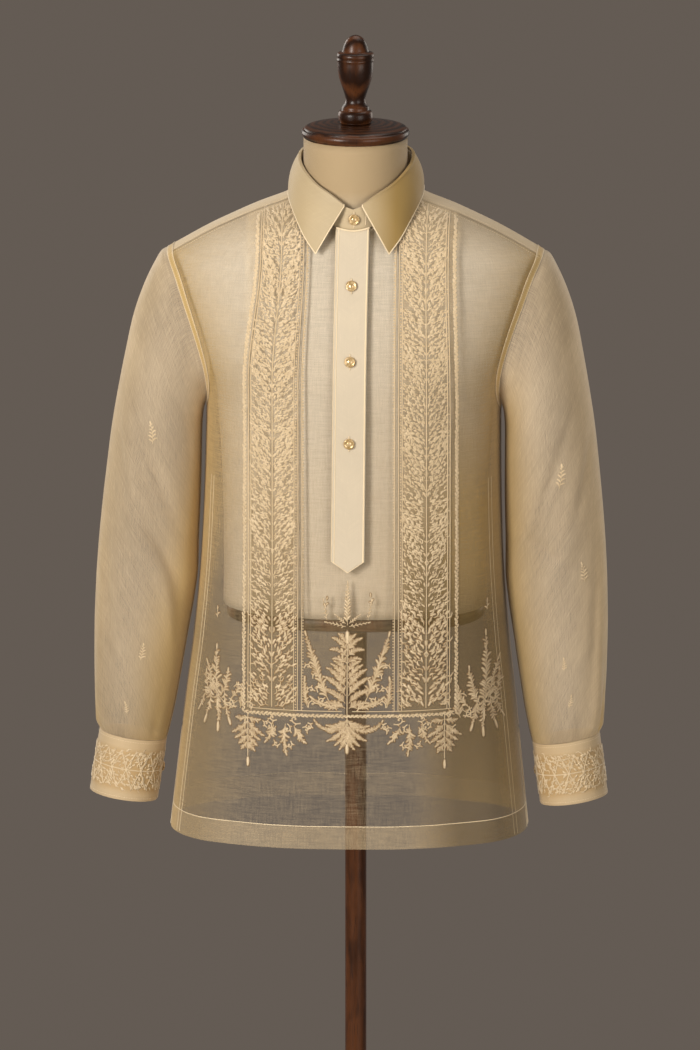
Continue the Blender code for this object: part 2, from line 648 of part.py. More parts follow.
def turned(name, profile, sides, look, collection):
    """Turns a (radius, height) profile, listed from the top down, round the Z axis."""
    mesh = bmesh.new()
    verts = [mesh.verts.new((radius, 0.0, height)) for radius, height in profile]
    for upper, lower in zip(verts, verts[1:]):
        mesh.edges.new((upper, lower))
    data = bpy.data.meshes.new(name)
    mesh.to_mesh(data)
    mesh.free()
    made = add_object(name, data, look, collection)
    screw = made.modifiers.new("turn", "SCREW")
    screw.steps = sides
    screw.render_steps = sides
    screw.use_merge_vertices = True
    screw.merge_threshold = 0.0001
    return made


def button(name, centre, outward, look, collection):
    """Disc with a raised rim and a shallow dish, laid on the cloth."""
    r, t = BUTTON_RADIUS, BUTTON_THICKNESS
    profile = ((0.0, 0.72 * t), (0.62 * r, 0.78 * t), (0.80 * r, t), (0.94 * r, 0.86 * t),
               (r, 0.5 * t), (0.92 * r, 0.1 * t), (0.78 * r, 0.0), (0.0, 0.0))
    made = turned(name, profile, BUTTON_SIDES, look, collection)
    made.location = leaned(centre)
    made.rotation_euler = outward.to_track_quat("Z", "Y").to_euler()
    return made


def form_grid():
    """Level loops of the half torso, its flat arm ends and its neck."""
    angle = np.linspace(0, 2 * pi, FORM_SIDES, endpoint=False)
    ca, sa = np.cos(angle), np.sin(angle)
    low = np.linspace(FORM["z"][0], FORM_SHOULDER_Z, 7, endpoint=False)
    shoulder = np.linspace(FORM_SHOULDER_Z, NECK_BACK_Z, 13, endpoint=False)
    neck = np.linspace(NECK_BACK_Z, NECK_TOP_Z - LAY_GAP, 3)
    grid = []
    for z in np.concatenate((low, shoulder, neck)):
        level = min(z, NECK_BACK_Z)
        inset = {key: float(smooth(FORM["z"], FORM[key], level)) for key in FORM if key != "z"}
        radius = np.zeros(FORM_SIDES)
        for side, name in ((-1, "front"), (1, "back")):
            width, depth, power = half_axes(level, side)
            width = float(width) - inset["side_inset"]
            depth = float(depth) - inset[name + "_inset"]
            power = power - FORM_ROUNDER * np.clip((z - UNDERARM_Z) / (FORM_SHOULDER_Z - UNDERARM_Z), 0, 1)
            part = (np.abs(ca / width) ** power + np.abs(sa / depth) ** power) ** (-1 / power)
            radius = np.where(sa * side >= 0, part, radius)
        shrink = np.clip((NECK_BACK_Z - z) / 0.02, 0, 1)
        radius = radius * shrink
        neck = neck_radius_from_axis(sa)
        if z > FORM_SHOULDER_Z:
            blend = (radius * 1000) ** NECK_BLEND + (neck * 1000) ** NECK_BLEND
            radius = blend ** (1 / NECK_BLEND) / 1000
        x, y = radius * ca, radius * sa
        if z < SHOULDER_Z:
            arm_end = float(body("half_width", level)) - FORM_ARM_CLEAR
            x = np.clip(x, -arm_end, arm_end)
        grid.append(np.stack((x, y, np.full(FORM_SIDES, z)), 1))
    return np.array(grid)


def neck_radius_from_axis(sa):
    """Distance from the frame's axis to the round neck, whose middle lies a little forward."""
    along = NECK_MIDDLE_Y * sa
    return along + np.sqrt(along * along + NECK_RADIUS ** 2 - NECK_MIDDLE_Y ** 2)


def capped_loft(name, grid, look, collection):
    """Closed solid through level loops, with a fan at each end."""
    data = grid_mesh(name, grid, True, False)
    mesh = bmesh.new()
    mesh.from_mesh(data)
    sides = grid.shape[1]
    for row, top in ((0, False), (grid.shape[0] - 1, True)):
        mesh.verts.ensure_lookup_table()
        loop = [mesh.verts[row * sides + c] for c in range(sides)]
        middle = mesh.verts.new(grid[row].mean(axis=0))
        for c in range(sides):
            face = (loop[c], loop[(c + 1) % sides], middle)
            mesh.faces.new(face if top else face[::-1])
    bmesh.ops.recalc_face_normals(mesh, faces=mesh.faces)
    mesh.to_mesh(data)
    mesh.free()
    return add_object(name, data, look, collection)


def plate_grid():
    """Level loops of the dark plate that closes the torso from below, with eased edges."""
    loop = form_grid()[0]
    middle = np.array((0.0, loop[:, 1].mean(), 0.0))
    grid = []
    for drop, inset in ((PLATE_THICKNESS, 0.003), (PLATE_THICKNESS - 0.002, 0.0), (0.002, 0.0), (0.0, 0.003)):
        radial = loop - middle
        radial[:, 2] = 0
        length = np.linalg.norm(radial, axis=1, keepdims=True)
        level = loop - radial / length * (PLATE_INSET + inset)
        level[:, 2] = PLATE_TOP_Z - drop
        grid.append(level)
    return np.array(grid)


def placket_place(z):
    """Middle of a button on the placket, and the way it faces."""
    step = 0.004
    rise = float(depth_at(0.0, z + step, -1) - depth_at(0.0, z - step, -1)) / (2 * step)
    outward = Vector((0.0, -1.0, -rise)).normalized()
    off = SHEER_WALL + PLACKET_GAP + 3 * LAY_GAP
    return Vector((0.0, -float(depth_at(0.0, z, -1)), z)) + outward * off, outward


def stand_place(x, z):
    """Middle of the button on the collar stand."""
    low, top = float(neckline_z(0.0)), STAND_FRONT_Z
    y = -NECK_FRONT + (NECK_FRONT - FOLD_FRONT) * (z - low) / (top - low)
    return Vector((x, y - 2 * LAY_GAP, z)), Vector((0.0, -1.0, 0.0))


def cuff_place(side):
    """Middle of the button on the hidden outer back of a cuff."""
    grid = cuff_grid(side, 3, SLEEVE_SIDES)
    column = int(round(CUFF_BUTTON_ANGLE / 360 * SLEEVE_SIDES))
    point = Vector(grid[1, column])
    middle = Vector(grid[1].mean(axis=0))
    down = Vector(grid[2, column] - grid[0, column]).normalized()
    across = Vector(grid[1, column + 1] - grid[1, column - 1]).normalized()
    outward = across.cross(down).normalized()
    if outward.dot(point - middle) < 0:
        outward = -outward
    return point + outward * (3 * LAY_GAP), outward


def build():
    clear_scene()
    collection = bpy.data.collections.new(COLLECTION)
    bpy.context.scene.collection.children.link(collection)
    sheer = material("sheer_pineapple_cloth", (0.62, 0.50, 0.31), 0.6)
    firm = material("folded_pineapple_cloth", (0.66, 0.52, 0.30), 0.55)
    pearl = material("pearl_gold_button", (0.66, 0.50, 0.26), 0.25)
    linen = material("natural_linen", (0.56, 0.47, 0.35), 0.85)
    wood = material("polished_dark_wood", (0.075, 0.022, 0.012), 0.25)

    front = panel(panel_columns(6, 7), -1, front_top, YOKE_FRONT_STEPS, 10)
    cloth("front", front, SHEER_WALL, sheer, collection)
    back = panel(panel_columns(3, 7), 1, back_top, YOKE_BACK_STEPS, 10)
    cloth("back", back, SHEER_WALL, sheer, collection, flip=True)
    cloth("yoke", yoke_grid(8, 5, 8), SHEER_WALL, sheer, collection)
    rings = range(len(SLEEVE["front"]))
    for side, hand in ((-1, "right"), (1, "left")):
        sleeve = sleeve_grid(side, rings, SLEEVE_SIDES)
        cloth("sleeve_" + hand, sleeve, SHEER_WALL, sheer, collection, closed=True, flip=side < 0)
        cuff = cuff_grid(side, 3, SLEEVE_SIDES)
        cloth("cuff_" + hand, cuff, CUFF_WALL, firm, collection, closed=True, flip=side < 0)
    cloth("collar_stand", stand_grid(4, 12, 16), COLLAR_WALL, firm, collection, closed=True)
    cloth("collar_leaf", leaf_grid(37, 5), COLLAR_WALL, firm, collection, flip=True)
    cloth("placket", placket_grid(front, 5, 14), SHEER_WALL, firm, collection)

    for k, z in enumerate(FRONT_BUTTONS_Z):
        centre, outward = placket_place(z)
        button(f"button_{k + 2}", centre, outward, pearl, collection)
    centre, outward = stand_place(*STAND_BUTTON)
    button("button_1", centre, outward, pearl, collection)
    for side, hand in ((-1, "right"), (1, "left")):
        centre, outward = cuff_place(side)
        button("cuff_button_" + hand, centre, outward, pearl, collection)

    capped_loft("form_torso", form_grid(), linen, collection)
    capped_loft("bottom_plate", plate_grid(), wood, collection)
    for name, profile in (("neck_cap", NECK_CAP), ("finial", FINIAL)):
        made = turned(name, profile, TURNED_SIDES, wood, collection)
        made.location = (0.0, NECK_MIDDLE_Y, 0.0)
    turned("pole", POLE, TURNED_SIDES, wood, collection)
    turned("base", BASE, 2 * TURNED_SIDES, wood, collection)


build()
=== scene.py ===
import json
from math import cos, pi, radians, sin, tan

import bmesh
import bpy
import numpy as np
from bpy.props import FloatProperty, FloatVectorProperty, IntProperty, PointerProperty
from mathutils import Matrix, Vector
from mathutils.bvhtree import BVHTree

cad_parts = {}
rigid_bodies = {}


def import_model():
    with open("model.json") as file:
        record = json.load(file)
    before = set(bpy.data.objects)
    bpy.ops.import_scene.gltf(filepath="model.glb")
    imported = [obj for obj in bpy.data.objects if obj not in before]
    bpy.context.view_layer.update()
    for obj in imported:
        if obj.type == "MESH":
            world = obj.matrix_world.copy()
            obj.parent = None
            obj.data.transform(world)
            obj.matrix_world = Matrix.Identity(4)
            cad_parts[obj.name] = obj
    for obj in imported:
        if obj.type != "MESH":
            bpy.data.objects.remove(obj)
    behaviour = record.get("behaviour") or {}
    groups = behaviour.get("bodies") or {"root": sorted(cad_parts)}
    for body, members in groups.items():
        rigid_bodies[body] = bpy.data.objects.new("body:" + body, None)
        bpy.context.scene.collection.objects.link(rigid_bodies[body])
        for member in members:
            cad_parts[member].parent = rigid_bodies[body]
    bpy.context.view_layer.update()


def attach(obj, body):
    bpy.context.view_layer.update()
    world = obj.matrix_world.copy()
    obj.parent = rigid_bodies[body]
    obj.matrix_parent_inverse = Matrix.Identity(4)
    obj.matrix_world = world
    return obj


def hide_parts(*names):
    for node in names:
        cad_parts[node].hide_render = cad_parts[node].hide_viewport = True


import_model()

bl_info = {
    "name": "Barong Tagalog",
    "version": (1, 0, 0),
    "blender": (4, 5, 0),
    "location": "3D View > Sidebar > Barong",
    "description": "Cuts, hangs and embroiders a sheer formal shirt on a dress form",
    "category": "Object",
}

# ---- sizes shared with the hard model, in metres ----

SHEER_WALL = 0.0012
COLLAR_WALL = 0.0015
CUFF_WALL = 0.0018
SEAM_GAP = 0.0006
LAY_GAP = 0.0003
HEM_Z = 0.7241
VENT_TOP_Z = 0.8414
UNDERARM_Z = 1.2293
SHOULDER_Z = 1.4085
RIDGE_LOW_Z = 1.3532
NECK_BACK_Z = 1.4937
VENT_SPREAD = 0.0040
LEAN = 0.0105
LEAN_PIVOT_Z = 1.4400


def table_columns(names, rows):
    """Columns of a table that is written in tenths of a millimetre."""
    return dict(zip(names, np.array(rows).T / 10000))


BODY = table_columns(("z", "half_width", "front_width", "back_width", "front", "back"), (
    (7241, 2092, 2092, 2092, 1450, 1400),
    (7992, 2013, 2013, 2013, 1430, 1360),
    (8896, 1916, 1916, 1916, 1380, 1280),
    (9498, 1844, 1844, 1844, 1330, 1200),
    (9999, 1798, 1798, 1798, 1270, 1130),
    (10500, 1762, 1762, 1762, 1225, 1085),
    (11000, 1740, 1740, 1740, 1205, 1075),
    (11599, 1724, 1724, 1724, 1210, 1100),
    (12293, 1716, 1716, 1716, 1230, 1140),
    (12477, 1700, 1740, 1760, 1235, 1150),
    (12730, 1725, 1850, 1900, 1230, 1165),
    (12991, 1790, 1985, 2070, 1205, 1170),
    (13274, 1880, 2110, 2210, 1160, 1160),
    (13532, 1972, 2200, 2300, 1105, 1135),
    (13811, 2070, 2255, 2320, 1020, 1090),
    (13989, 2150, 2245, 2270, 955, 1045),
    (14085, 2195, 2195, 2195, 920, 1020),
    (14360, 1710, 1710, 1710, 835, 905),
    (14461, 1500, 1500, 1500, 800, 870),
    (14583, 1235, 1235, 1235, 660, 805),
    (14774, 775, 775, 775, 485, 715),
    (14838, 720, 720, 720, 400, 660),
    (14937, 640, 640, 640, 300, 640),
))
HEM_POWER = 2.4
CHEST_POWER = 2.3
NECK_HALF_WIDTH = 0.072
NECK_FRONT = 0.080
NECK_BACK = 0.064
COLLAR = dict(zip(("angle", "fold_z", "edge_x", "edge_y", "edge_z"), np.array((
    (9.0, 1.4773, 0.0427, -0.0915, 1.4210),
    (24.0, 1.4883, 0.0560, -0.0840, 1.4391),
    (40.0, 1.4967, 0.0668, -0.0665, 1.4575),
    (60.0, 1.5081, 0.0768, -0.0330, 1.4744),
    (80.0, 1.5175, 0.0790, -0.0080, 1.4783),
    (100.0, 1.5239, 0.0785, 0.0160, 1.4818),
    (130.0, 1.5279, 0.0640, 0.0520, 1.4853),
    (155.0, 1.5291, 0.0360, 0.0725, 1.4863),
    (180.0, 1.5294, 0.0000, 0.0785, 1.4868),
)).T))
FOLD_HALF_WIDTH = 0.0655
FOLD_FRONT = 0.0785
FOLD_BACK = 0.0590
STAND_FRONT_Z = 1.4739
ROLL = 0.0032
STAND_DROP = 0.0011
LEAF_BULGE = 0.0035
LEAF_CLEAR = 0.0016
PLACKET_HALF_WIDTH = 0.0192
PLACKET_CORNER_Z = 1.0630
PLACKET_TIP_Z = 1.0495
PLACKET_GAP = 0.0014
BUTTON_RADIUS = 0.0064
BUTTON_THICKNESS = 0.0026
FRONT_BUTTONS_Z = (1.3842, 1.2990, 1.2030)
STAND_BUTTON = (0.0012, 1.4592)
SLEEVE = table_columns(("outer_x", "outer_z", "inner_x", "inner_z", "middle_y", "front", "back"), (
    (2195, 14085, 1716, 12293, 0, 620, 700),
    (2262, 14052, 1735, 12258, 0, 630, 712),
    (2361, 13888, 1752, 12198, 0, 655, 735),
    (2492, 13591, 1765, 12108, 0, 685, 755),
    (2594, 13264, 1772, 11989, 0, 705, 765),
    (2676, 12866, 1775, 11819, -10, 715, 755),
    (2753, 12448, 1777, 11599, -20, 710, 735),
    (2825, 11999, 1780, 11320, -30, 680, 690),
    (2885, 11482, 1788, 11000, -40, 635, 640),
    (2936, 10990, 1800, 10650, -50, 590, 590),
    (2972, 10550, 1803, 10320, -70, 560, 560),
    (2995, 10110, 1842, 9969, -100, 540, 540),
    (3006, 9639, 1914, 9528, -130, 510, 510),
    (3002, 9197, 1985, 9087, -170, 480, 480),
    (2985, 8806, 2055, 8685, -200, 450, 450),
    (2955, 8525, 2118, 8404, -230, 415, 415),
    (2930, 8414, 2148, 8293, -240, 385, 385),
))
ARMHOLE_FADE_RINGS = 4.0
CUFF_DROP = (0.0103, -0.0050, -0.0720)
CUFF_END_SCALE = 1.010
CUFF_BUTTON_ANGLE = 200.0
BODY_FOLDS = (
    # side, x, z, width, length, height, lean in degrees
    (-1, 0.168, 0.800, 0.016, 0.090, 0.0045, 4.0),
    (-1, 0.128, 0.790, 0.020, 0.070, -0.0030, 2.0),
    (-1, -0.165, 0.790, 0.016, 0.100, 0.0040, -4.0),
    (-1, -0.122, 0.800, 0.021, 0.065, -0.0035, -2.0),
    (1, 0.000, 0.830, 0.022, 0.130, -0.0050, 0.0),
    (1, 0.062, 0.810, 0.024, 0.110, 0.0055, 3.0),
    (1, -0.068, 0.820, 0.024, 0.120, 0.0050, -3.0),
    (1, 0.128, 0.800, 0.020, 0.090, -0.0040, 5.0),
    (1, -0.132, 0.810, 0.020, 0.095, -0.0045, -5.0),
    (1, 0.110, 1.300, 0.018, 0.045, 0.0040, 28.0),
    (1, -0.112, 1.295, 0.018, 0.050, 0.0035, -30.0),
)
SLEEVE_FOLDS = (
    # side, angle in degrees from the outer line towards the front, ring, angle and ring reach, height, twist
    (-1, 75.0, 8.6, 16.0, 1.5, -0.0090, 14.0),
    (-1, 112.0, 9.6, 15.0, 1.3, 0.0040, 16.0),
    (-1, 30.0, 14.6, 12.0, 1.7, -0.0045, 0.0),
    (-1, 290.0, 9.2, 18.0, 1.4, -0.0050, -14.0),
    (1, 68.0, 8.9, 15.0, 1.6, -0.0045, 15.0),
    (1, 104.0, 9.8, 16.0, 1.2, 0.0045, 13.0),
    (1, 36.0, 14.4, 13.0, 1.9, -0.0055, 0.0),
    (1, 284.0, 9.5, 18.0, 1.3, -0.0045, -12.0),
)
FORM = table_columns(("z", "side_inset", "front_inset", "back_inset"), (
    (9920, 255, 100, 95),
    (10600, 215, 75, 75),
    (11500, 165, 65, 70),
    (12295, 105, 60, 60),
    (13000, 65, 50, 55),
    (13820, 52, 50, 50),
    (14096, 46, 50, 50),
    (14300, 48, 60, 48),
    (14475, 51, 70, 56),
    (14791, 62, 68, 66),
    (14955, 52, 60, 60),
))
FORM_ARM_CLEAR = 0.0080
FORM_SHOULDER_Z = 1.3600
FORM_ROUNDER = 0.22
NECK_RADIUS = 0.0605
NECK_MIDDLE_Y = -0.0085
NECK_TOP_Z = 1.5428
NECK_BLEND = 40.0
# Turned profiles as radius and height, in tenths of a millimetre
FINIAL = np.array((
    (0, 16644), (40, 16636), (77, 16615), (108, 16583), (132, 16538),
    (148, 16487), (156, 16449), (182, 16441), (209, 16431), (217, 16407),
    (213, 16385), (206, 16375), (214, 16366), (217, 16350), (211, 16334),
    (211, 16276), (205, 16212), (191, 16132), (165, 16052), (137, 15972),
    (120, 15914), (115, 15879), (120, 15847), (139, 15818), (154, 15802),
    (160, 15783), (160, 15761), (188, 15745), (202, 15716), (202, 15668),
    (191, 15636), (183, 15623), (183, 15604), (0, 15604),
)) / 10000
NECK_CAP = np.array((
    (0, 15600), (240, 15598), (430, 15588), (560, 15568), (596, 15548),
    (596, 15536), (622, 15525), (630, 15497), (624, 15469), (604, 15451),
    (604, 15439), (590, 15430), (0, 15430),
)) / 10000
PLATE_TOP_Z = 0.9917
PLATE_THICKNESS = 0.0160
PLATE_INSET = 0.0040
POLE = np.array((
    (0, 9754), (400, 9754), (410, 9744), (410, 9704), (400, 9694),
    (180, 9684), (150, 9654), (125, 9604), (125, 700), (170, 660),
    (190, 600), (190, 440), (230, 400), (230, 303), (0, 303),
)) / 10000
BASE = np.array((
    (0, 300), (600, 292), (1100, 262), (1560, 206), (1740, 176),
    (1760, 160), (1790, 156), (1820, 132), (1825, 100), (1800, 40),
    (1760, 0), (0, 0),
)) / 10000
YOKE_NECK_SHARE = 0.55
FRONT_CORNER_Z = 1.40487
BACK_CORNER_Z = 1.39428

# Finer creases than the hard model's: side, x, z, width, length, height, lean in degrees
FINE_BODY_FOLDS = (
    (-1, 0.148, 1.270, 0.010, 0.050, 0.0022, 24.0),
    (-1, 0.118, 1.235, 0.013, 0.060, -0.0016, 30.0),
    (-1, -0.146, 1.275, 0.010, 0.045, 0.0020, -26.0),
    (-1, -0.120, 1.230, 0.014, 0.065, -0.0015, -32.0),
    (-1, 0.150, 1.110, 0.009, 0.110, 0.0016, 3.0),
    (-1, -0.152, 1.080, 0.010, 0.120, 0.0017, -2.0),
    (-1, 0.186, 0.790, 0.007, 0.060, 0.0018, 4.0),
    (-1, -0.184, 0.780, 0.008, 0.055, 0.0016, -5.0),
    (-1, 0.050, 0.775, 0.018, 0.050, 0.0016, 3.0),
    (-1, -0.048, 0.770, 0.019, 0.055, 0.0014, -3.0),
    (1, 0.030, 0.900, 0.012, 0.120, 0.0022, 3.0),
    (1, -0.036, 0.930, 0.013, 0.100, 0.0020, -4.0),
    (1, 0.096, 0.950, 0.013, 0.110, -0.0020, 6.0),
    (1, -0.100, 0.915, 0.012, 0.120, 0.0018, -6.0),
    (1, 0.146, 1.220, 0.011, 0.060, 0.0022, 26.0),
    (1, -0.142, 1.235, 0.012, 0.055, 0.0024, -24.0),
    (1, 0.060, 1.150, 0.016, 0.090, 0.0014, 10.0),
    (1, -0.052, 1.120, 0.015, 0.080, 0.0012, -12.0),
)
# side, angle in degrees from the outer line towards the front, ring, angle and ring reach, height, twist
FINE_SLEEVE_FOLDS = (
    (-1, 18.0, 15.3, 5.5, 1.5, 0.0032, 1.0),
    (-1, 34.0, 15.3, 5.0, 1.2, 0.0022, 2.0),
    (-1, 8.0, 15.4, 4.0, 1.2, -0.0028, 0.0),
    (-1, 60.0, 15.2, 7.0, 1.1, 0.0014, -2.0),
    (-1, 130.0, 15.2, 8.0, 1.2, 0.0016, 2.0),
    (-1, 200.0, 15.2, 6.0, 1.4, 0.0034, -2.0),
    (-1, 228.0, 15.3, 6.0, 1.2, 0.0030, 2.0),
    (-1, 262.0, 15.2, 7.0, 1.3, 0.0028, 0.0),
    (-1, 300.0, 15.3, 7.0, 1.2, 0.0024, 2.0),
    (-1, 96.0, 7.3, 9.0, 1.0, 0.0043, 22.0),
    (-1, 58.0, 7.8, 9.0, 0.9, 0.0036, 20.0),
    (-1, 118.0, 10.9, 10.0, 1.2, -0.0042, 12.0),
    (-1, 92.0, 9.0, 7.0, 0.8, 0.0036, 34.0),
    (-1, 44.0, 11.4, 8.0, 1.6, 0.0032, 5.0),
    (-1, 70.0, 2.6, 9.0, 1.4, 0.0018, -12.0),
    (-1, 250.0, 7.6, 11.0, 1.2, 0.0026, -16.0),
    (-1, 236.0, 11.2, 11.0, 1.5, 0.0022, 8.0),
    (1, 20.0, 15.3, 5.5, 1.6, 0.0034, -1.0),
    (1, 37.0, 15.2, 5.0, 1.2, 0.0022, 2.0),
    (1, 9.0, 15.4, 4.0, 1.3, -0.0028, 0.0),
    (1, 66.0, 15.2, 7.0, 1.2, 0.0014, -2.0),
    (1, 126.0, 15.2, 8.0, 1.1, 0.0016, 2.0),
    (1, 204.0, 15.2, 6.0, 1.4, 0.0034, -2.0),
    (1, 231.0, 15.3, 6.0, 1.2, 0.0030, 2.0),
    (1, 266.0, 15.2, 7.0, 1.3, 0.0028, 0.0),
    (1, 304.0, 15.3, 7.0, 1.2, 0.0024, 2.0),
    (1, 90.0, 7.5, 9.0, 1.0, 0.0047, 24.0),
    (1, 50.0, 8.1, 8.0, 0.9, 0.0040, 20.0),
    (1, 120.0, 8.6, 9.0, 0.9, -0.0046, 22.0),
    (1, 100.0, 9.4, 6.0, 0.8, 0.0036, -34.0),
    (1, 40.0, 11.6, 8.0, 1.6, 0.0032, 4.0),
    (1, 74.0, 2.4, 9.0, 1.4, 0.0018, -12.0),
    (1, 254.0, 7.4, 11.0, 1.2, 0.0026, -16.0),
    (1, 240.0, 11.0, 11.0, 1.5, 0.0022, 8.0),
)


# ---- shapes of the shirt and the form ----

HANDS = ((-1, "right"), (1, "left"))
RIDGE_ROW = int(np.searchsorted(BODY["z"], SHOULDER_Z))
HOLE_MIDDLE, HOLE_HALF = (SHOULDER_Z + UNDERARM_Z) / 2, (SHOULDER_Z - UNDERARM_Z) / 2
LAST_RING = len(SLEEVE["front"]) - 1
HALVINGS = 40


def unit(vectors):
    return vectors / np.maximum(np.linalg.norm(vectors, axis=-1, keepdims=True), 1e-12)


def distances(points):
    """Distance along a row of points from the first one."""
    return np.concatenate(([0.0], np.cumsum(np.linalg.norm(np.diff(points, axis=0), axis=1))))


def facing(ways, out):
    """Ways, turned over where they point away from out."""
    return ways * np.sign(np.sum(ways * out, axis=-1, keepdims=True))


def points_at(where, length, rows):
    return np.stack([np.interp(where, length, rows[:, k]) for k in range(3)], 1)


def smooth(xs, ys, x):
    """Cubic through a table's rows that never overshoots between two of them."""
    x = np.clip(np.asarray(x, float), xs[0], xs[-1])
    width = np.diff(xs)
    slope = np.diff(ys) / width
    tangent = np.concatenate(([slope[0]], np.zeros(len(xs) - 2), [slope[-1]]))
    product = slope[:-1] * slope[1:]
    total = np.where(product > 0, slope[:-1] + slope[1:], 1.0)
    tangent[1:-1] = np.where(product > 0, 2 * product / total, 0.0)
    k = np.clip(np.searchsorted(xs, x, side="right") - 1, 0, len(width) - 1)
    t = (x - xs[k]) / width[k]
    start = (1 + 2 * t) * (1 - t) ** 2 * ys[k] + t * (1 - t) ** 2 * width[k] * tangent[k]
    end = t * t * (3 - 2 * t) * ys[k + 1] + t * t * (t - 1) * width[k] * tangent[k + 1]
    return start + end


def ridge_width(z):
    return smooth(BODY["z"][RIDGE_ROW:], BODY["half_width"][RIDGE_ROW:], z)


def half_width(z):
    """Half width of the shirt, with a corner at the shoulder tip."""
    below = slice(RIDGE_ROW + 1)
    return np.where(z > SHOULDER_Z, ridge_width(z), smooth(BODY["z"][below], BODY["half_width"][below], z))


def half_axes(z, side):
    """Half width, depth and power of the rounded cut at a height, in front (-1) or behind (+1)."""
    name = "front" if side < 0 else "back"
    wide = np.where(z > SHOULDER_Z, ridge_width(z), smooth(BODY["z"], BODY[name + "_width"], z))
    return wide, smooth(BODY["z"], BODY[name], z), np.interp(z, (HEM_Z, UNDERARM_Z), (HEM_POWER, CHEST_POWER))


def depth_at(x, z, side):
    width, depth, power = half_axes(z, side)
    return depth * np.clip(1 - np.abs(x / width) ** power, 0, 1) ** (1 / power)


def armhole_depth(z, side):
    """How far in front of (side -1) or behind (+1) the shoulder the armhole runs at a height."""
    return depth_at(half_width(z), z, side)


def height_at(x, y, side):
    """Height of the shoulders over a place seen from above."""
    low, high = np.full(np.shape(x), RIDGE_LOW_Z), np.full(np.shape(x), NECK_BACK_Z)
    for _ in range(HALVINGS):
        middle = (low + high) / 2
        width, depth, power = half_axes(middle, side)
        inside = np.abs(x / width) ** power + np.abs(y / depth) ** power < 1
        low, high = np.where(inside, middle, low), np.where(inside, high, middle)
    return (low + high) / 2


def shoulder_z(x, y):
    return np.where(y < 0, height_at(x, y, -1), height_at(x, y, 1))


def collar_line(angle, half, front, back):
    """Plan of a line round the neck, by angle in degrees from centre front towards +X."""
    a = np.radians(angle)
    return half * np.sin(a), -np.cos(a) * np.where(np.cos(a) > 0, front, back)


def neckline(angle):
    return collar_line(angle, NECK_HALF_WIDTH, NECK_FRONT, NECK_BACK)


def fold_line(angle):
    return collar_line(angle, FOLD_HALF_WIDTH, FOLD_FRONT, FOLD_BACK)


def normals(grid, closed=False):
    """Unit normals of a grid whose rows run up and whose columns run towards +X on the front."""
    across = np.roll(grid, -1, axis=1) - np.roll(grid, 1, axis=1) if closed else np.gradient(grid, axis=1)
    return unit(np.cross(across, np.gradient(grid, axis=0)))


def body_folds(grid, side):
    """Moves a body grid out and in by the long soft folds of that side."""
    x, z = grid[..., 0], grid[..., 2]
    lift = np.zeros(x.shape)
    for fold_side, fx, fz, width, length, height, lean in BODY_FOLDS + FINE_BODY_FOLDS:
        if fold_side == side:
            turn = radians(lean)
            across = (x - fx) * cos(turn) + (z - fz) * sin(turn)
            along = (z - fz) * cos(turn) - (x - fx) * sin(turn)
            lift += height * np.exp(-(across / width) ** 2 - (along / length) ** 2)
    edge = np.clip((half_width(z) - np.abs(x)) / 0.02, 0, 1)
    return grid - side * normals(grid) * (lift * edge)[..., None]


def seam_angle():
    """Angle from centre front at which the yoke's front seam meets the neckline."""
    return float(np.degrees(np.arccos(float(armhole_depth(FRONT_CORNER_Z, -1)) / NECK_FRONT)))


def neck_share():
    """Part of the front's half width that ends on the neckline."""
    return NECK_HALF_WIDTH * sin(radians(seam_angle())) / float(half_width(FRONT_CORNER_Z))


def front_top(u):
    """Neckline, then the yoke seam, over the front's columns: x, y and z."""
    corner_x = float(half_width(FRONT_CORNER_Z))
    split = neck_share()
    neck_x = split * corner_x
    on_neck = np.abs(u) < split
    nx, ny = neckline(seam_angle() * np.clip(u / split, -1, 1))
    slide = np.clip((np.abs(u) - split) / (1 - split), 0, 1)
    x = np.where(on_neck, nx, np.sign(u) * (neck_x + (corner_x - neck_x) * slide))
    y = np.where(on_neck, ny, -float(armhole_depth(FRONT_CORNER_Z, -1)))
    return x, y, np.where(slide < 1, height_at(x, y, -1), FRONT_CORNER_Z)


def back_top(u):
    x = u * half_width(BACK_CORNER_Z)
    return x, depth_at(x, BACK_CORNER_Z, 1), np.full(u.shape, BACK_CORNER_Z)


def panel(u, side, rows_low, rows_high):
    """Front or back: level rows up to the underarm, then rows that end on the top seam."""
    top_x, top_y, top_z = (front_top if side < 0 else back_top)(u)
    corner_z = FRONT_CORNER_Z if side < 0 else BACK_CORNER_Z
    # heights up the armhole, close together where it turns at the underarm
    turns = np.linspace(-pi / 2, np.arcsin((corner_z - HOLE_MIDDLE) / HOLE_HALF), rows_high + 1)[1:]
    edge_z = HOLE_MIDDLE + HOLE_HALF * np.sin(turns)
    edge_x = half_width(edge_z)
    underarm = float(half_width(UNDERARM_Z))
    rows = []
    for z in np.linspace(HEM_Z, UNDERARM_Z, rows_low):
        x = u * half_width(z)
        rows.append((x, side * depth_at(x, z, side), np.full(u.shape, z)))
    for k in range(rows_high):
        part = (edge_z[k] - UNDERARM_Z) / (edge_z[-1] - UNDERARM_Z)
        sideways = (edge_x[k] - underarm) / (edge_x[-1] - underarm)
        x = u * underarm + (top_x - u * underarm) * (part + (sideways - part) * np.abs(u) ** 6)
        z = UNDERARM_Z + (top_z - UNDERARM_Z) * part
        rows.append((x, side * depth_at(x, z, side), z))
    rows[-1] = (top_x, side * np.abs(top_y), top_z)
    grid = body_folds(np.array(rows).transpose(0, 2, 1), side)
    vent = np.clip((VENT_TOP_Z - grid[..., 2]) / (VENT_TOP_Z - HEM_Z), 0, 1)
    grid[..., 1] += side * (SEAM_GAP / 2 + VENT_SPREAD * vent * np.abs(u) ** 8)
    grid[-1, :, 1:] += (side * SEAM_GAP / 4, -SEAM_GAP / 4)
    return grid


